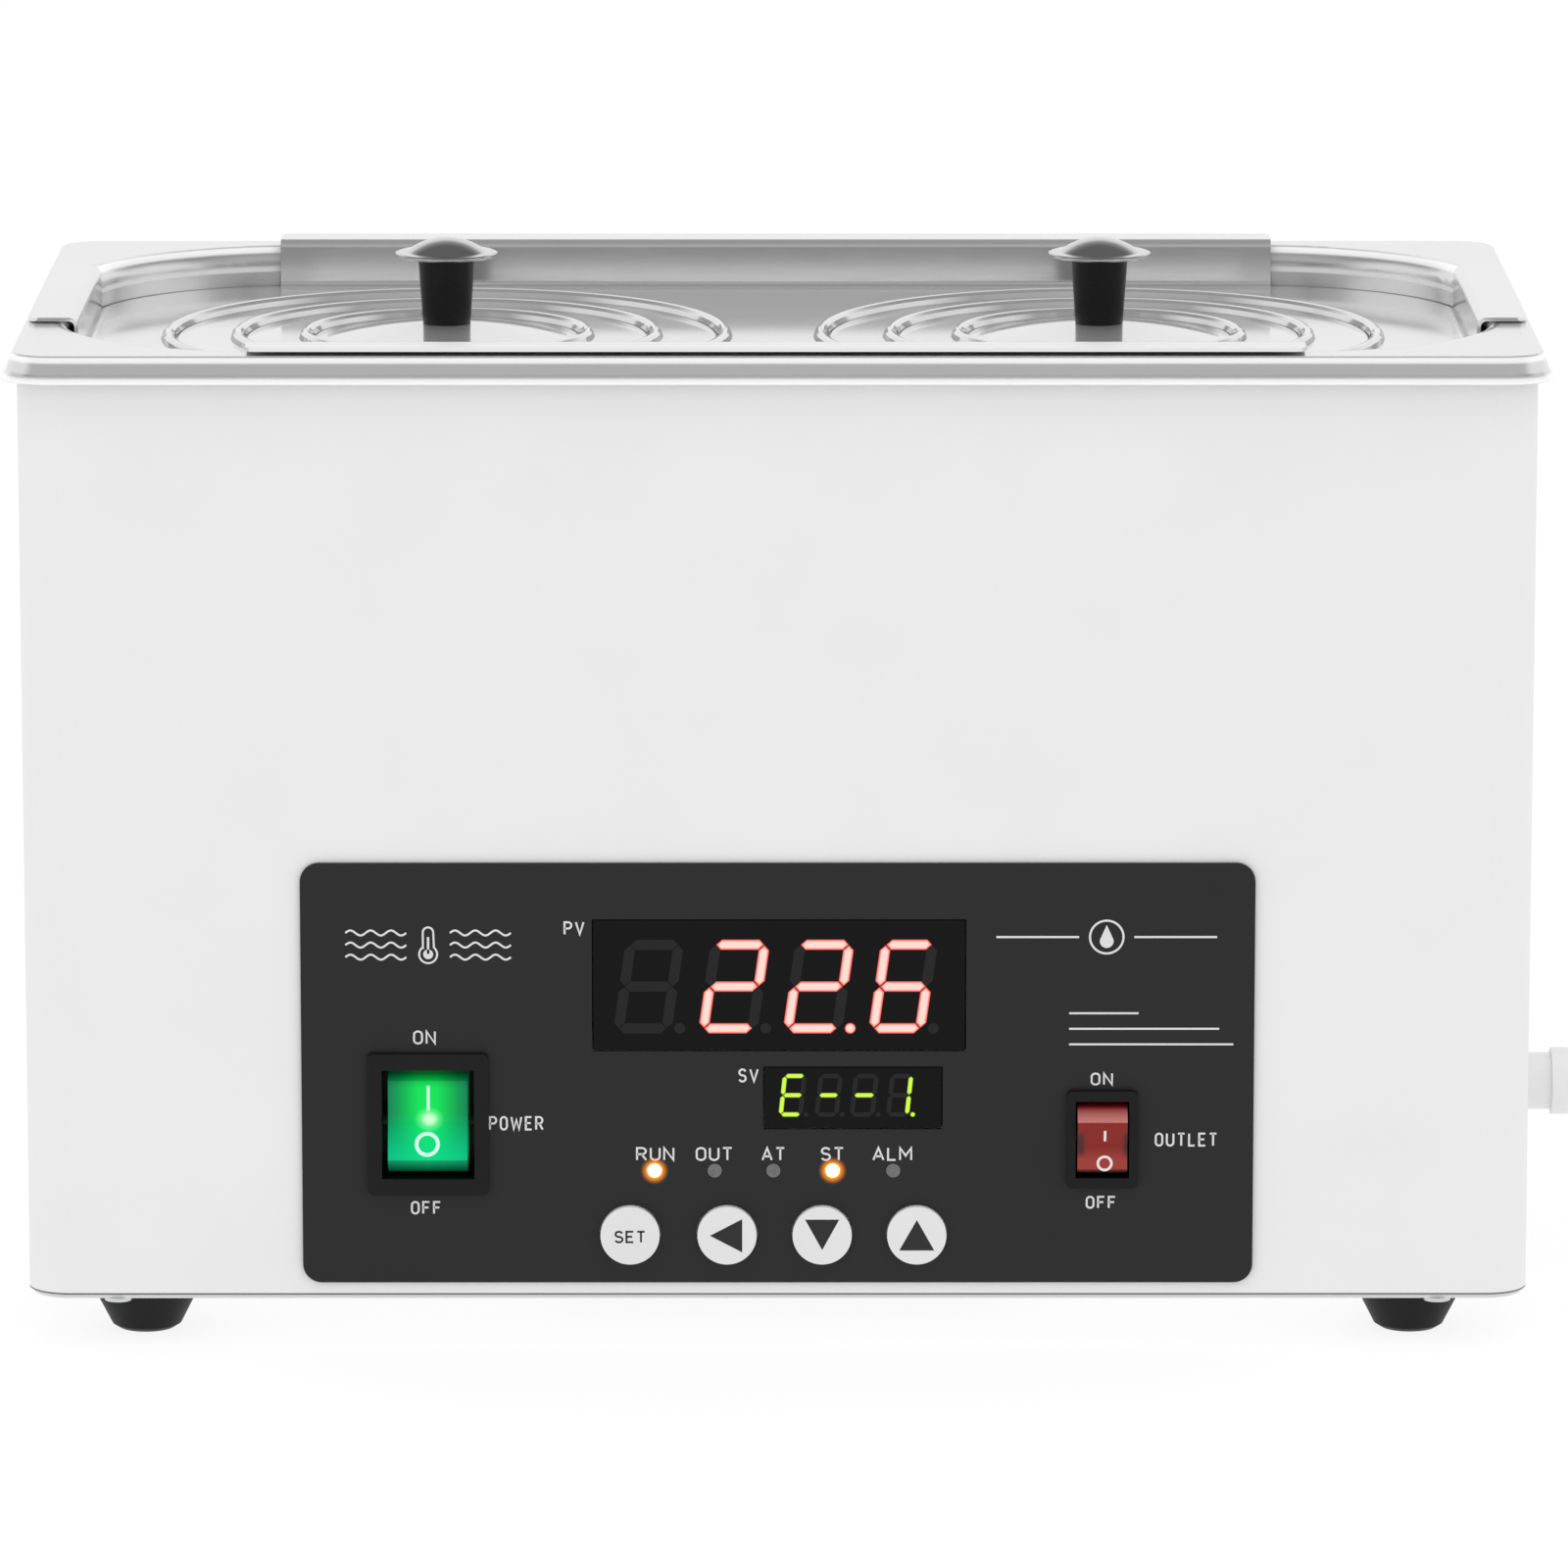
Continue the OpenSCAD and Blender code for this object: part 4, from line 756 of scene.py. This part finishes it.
# ---------------------------------------------------------------- lamp glows
HALO = halo("lamp_halo", (1.0, 0.30, 0.03), 1.5)
HALO_RINGS = ((1.45, 0.95), (2.2, 0.6), (3.2, 0.0))  # radius, and how near to the core it counts
HALO_POINTS = 40
for i, x in enumerate(LIT_LAMPS):
    shine = Flat(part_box("indicator_lamps")[0].y - LIT_LIFT)
    inner, middle, outer = [shine.circle(x, LAMP_Z, r, HALO_POINTS, value) for r, value in HALO_RINGS]
    shine.band(inner, middle)
    shine.band(middle, outer)
    shine.build("lamp_glow_%d" % (i + 1), HALO, "cabinet", "lamp_lens", True)


# ---------------------------------------------------------------- rocker marks
def lean(flat, crease, degrees):
    """Leans a Flat about the level line through the crease of a rocker's face."""
    t = math.radians(degrees)
    for v in flat.verts:
        dz = v.z - crease.z
        v.y = crease.y - LIT_LIFT + dz * math.sin(t)
        v.z = crease.z + dz * math.cos(t)


def rocker_marks(switch, mat, slot, crease, stroke, ring, tilts, lit):
    """The on stroke (x0, x1, z0, z1) and the off ring (x, z, r_in, r_out) of a rocker."""
    x0, x1, z0, z1 = stroke
    on_mark, off_mark = Flat(0), Flat(0)
    on_mark.poly([(x0, z0), (x1, z0), (x1, z1), (x0, z1)])
    off_mark.ring(*ring)
    for name, mark, tilt in (("_on_mark", on_mark, tilts[0]), ("_off_mark", off_mark, tilts[1])):
        lean(mark, crease, tilt)
        mark.build(switch + name, mat, switch + "_rocker", slot, lit)


SYMBOL_LIT = glow("symbol_white", [(0.0, (0.62, 0.95, 0.80)), (1.0, (0.70, 1.0, 0.86))], 1.0)
SYMBOL_CREAM = ink("symbol_cream", (0.80, 0.74, 0.70))
half_bend = math.sin(math.radians(ROCKER_BEND / 2))
# the power rocker is on: its upper half is upright, and its lower half leans out
rocker_marks("power", SYMBOL_LIT, "rocker_green",
             at(POWER_X, ROCKER_FACE_Y, POWER_HINGE_Z + POWER_HINGE_DEPTH * half_bend),
             (-73.95, -73.33, 51.5, 56.9), (-73.85, 44.35, 1.85, 2.65), (0, ROCKER_BEND), True)
# the outlet rocker is off: its lower half is upright, and its upper half leans out
rocker_marks("outlet", SYMBOL_CREAM, "rocker_red",
             at(OUTLET_X, ROCKER_FACE_Y, OUTLET_HINGE_Z - OUTLET_HINGE_DEPTH * half_bend),
             (68.75, 69.3, 45.0, 47.6), (69.0, 40.1, 1.15, 1.7), (-ROCKER_BEND, 0), False)

# ---------------------------------------------------------------- floor
FLOOR_HALF = 30.0
floor_material, nt, b = new_material("floor_white")
n = noise(nt, coords(nt), 3.0)
link(nt, ramp(nt, n, [(0.3, grey(0.13)), (0.7, grey(0.15))]), b.inputs["Base Color"])
link(nt, remap(nt, n, 0.85, 0.95), b.inputs["Roughness"])
b.inputs["Specular IOR Level"].default_value = 0.05
b.inputs["Emission Color"].default_value = (1, 1, 1, 1)
b.inputs["Emission Strength"].default_value = 0.86
me = bpy.data.meshes.new("floor")
me.from_pydata([(-FLOOR_HALF, -FLOOR_HALF, 0), (FLOOR_HALF, -FLOOR_HALF, 0),
                (FLOOR_HALF, FLOOR_HALF, 0), (-FLOOR_HALF, FLOOR_HALF, 0)], [], [(0, 1, 2, 3)])
floor = bpy.data.objects.new("floor", me)
bpy.context.scene.collection.objects.link(floor)
me.materials.append(floor_material)

# ---------------------------------------------------------------- world and lights
world = bpy.data.worlds.new("studio")
bpy.context.scene.world = world
world.use_nodes = True
nt = world.node_tree
nt.nodes.clear()
out = nt.nodes.new("ShaderNodeOutputWorld")
tc = nt.nodes.new("ShaderNodeTexCoord")
sep = nt.nodes.new("ShaderNodeSeparateXYZ")
link(nt, tc.outputs["Generated"], sep.inputs["Vector"])
# reflections see a white wall behind, a dimmer ceiling, a grey room in front and pale walls at the sides
turn = add_math(nt, "ARCTAN2", sep.outputs["Z"], sep.outputs["Y"])
room = ramp(nt, add_math(nt, "DIVIDE", turn, math.pi),
            [(0.0, grey(0.93)), (0.15, grey(0.93)), (0.22, grey(0.35)), (0.30, grey(0.15)),
             (0.60, grey(0.15)), (0.78, grey(0.35)), (0.85, grey(0.40)), (0.93, grey(0.20)),
             (1.0, grey(0.15))])
sideways = add_math(nt, "ABSOLUTE", sep.outputs["X"], 0)
room = mix_colour(nt, ramp(nt, sideways, [(0.75, grey(0.0)), (0.92, grey(1.0))]), room, grey(0.85))
bg_room = nt.nodes.new("ShaderNodeBackground")
link(nt, room, bg_room.inputs["Color"])
bg_room.inputs["Strength"].default_value = 1.0
bg_plain = nt.nodes.new("ShaderNodeBackground")
bg_plain.inputs["Color"].default_value = (1, 1, 1, 1)
bg_plain.inputs["Strength"].default_value = 1.0
lp = nt.nodes.new("ShaderNodeLightPath")
mix = nt.nodes.new("ShaderNodeMixShader")
link(nt, lp.outputs["Is Glossy Ray"], mix.inputs["Fac"])
link(nt, bg_plain.outputs["Background"], mix.inputs[1])
link(nt, bg_room.outputs["Background"], mix.inputs[2])
link(nt, mix.outputs["Shader"], out.inputs["Surface"])


# a soft square light overhead, which shines straight down and isn't reflected
light = bpy.data.lights.new("overhead", "AREA")
light.shape = "RECTANGLE"
light.size, light.size_y = 2.4, 2.4
light.energy = 14
light_ob = bpy.data.objects.new("overhead", light)
light_ob.location = (0.0, 0.0, 2.2)
light_ob.visible_glossy = False
bpy.context.scene.collection.objects.link(light_ob)

# ---------------------------------------------------------------- camera
cam = bpy.data.cameras.new("camera")
cam_ob = bpy.data.objects.new("camera", cam)
bpy.context.scene.collection.objects.link(cam_ob)
cam.sensor_width = 36.0
cam.lens = 235.4
cam_ob.location = at(0.0, -2194.5, 536.0)
look = at(1.34, -85.5, 121.4)  # near the middle of the front
cam_ob.rotation_mode = "QUATERNION"
cam_ob.rotation_quaternion = (look - cam_ob.location).to_track_quat("-Z", "Y")
cam.clip_start, cam.clip_end = 0.05, 100.0
bpy.context.scene.camera = cam_ob
bpy.context.scene.view_settings.view_transform = "Standard"
bpy.context.scene.view_settings.look = "None"
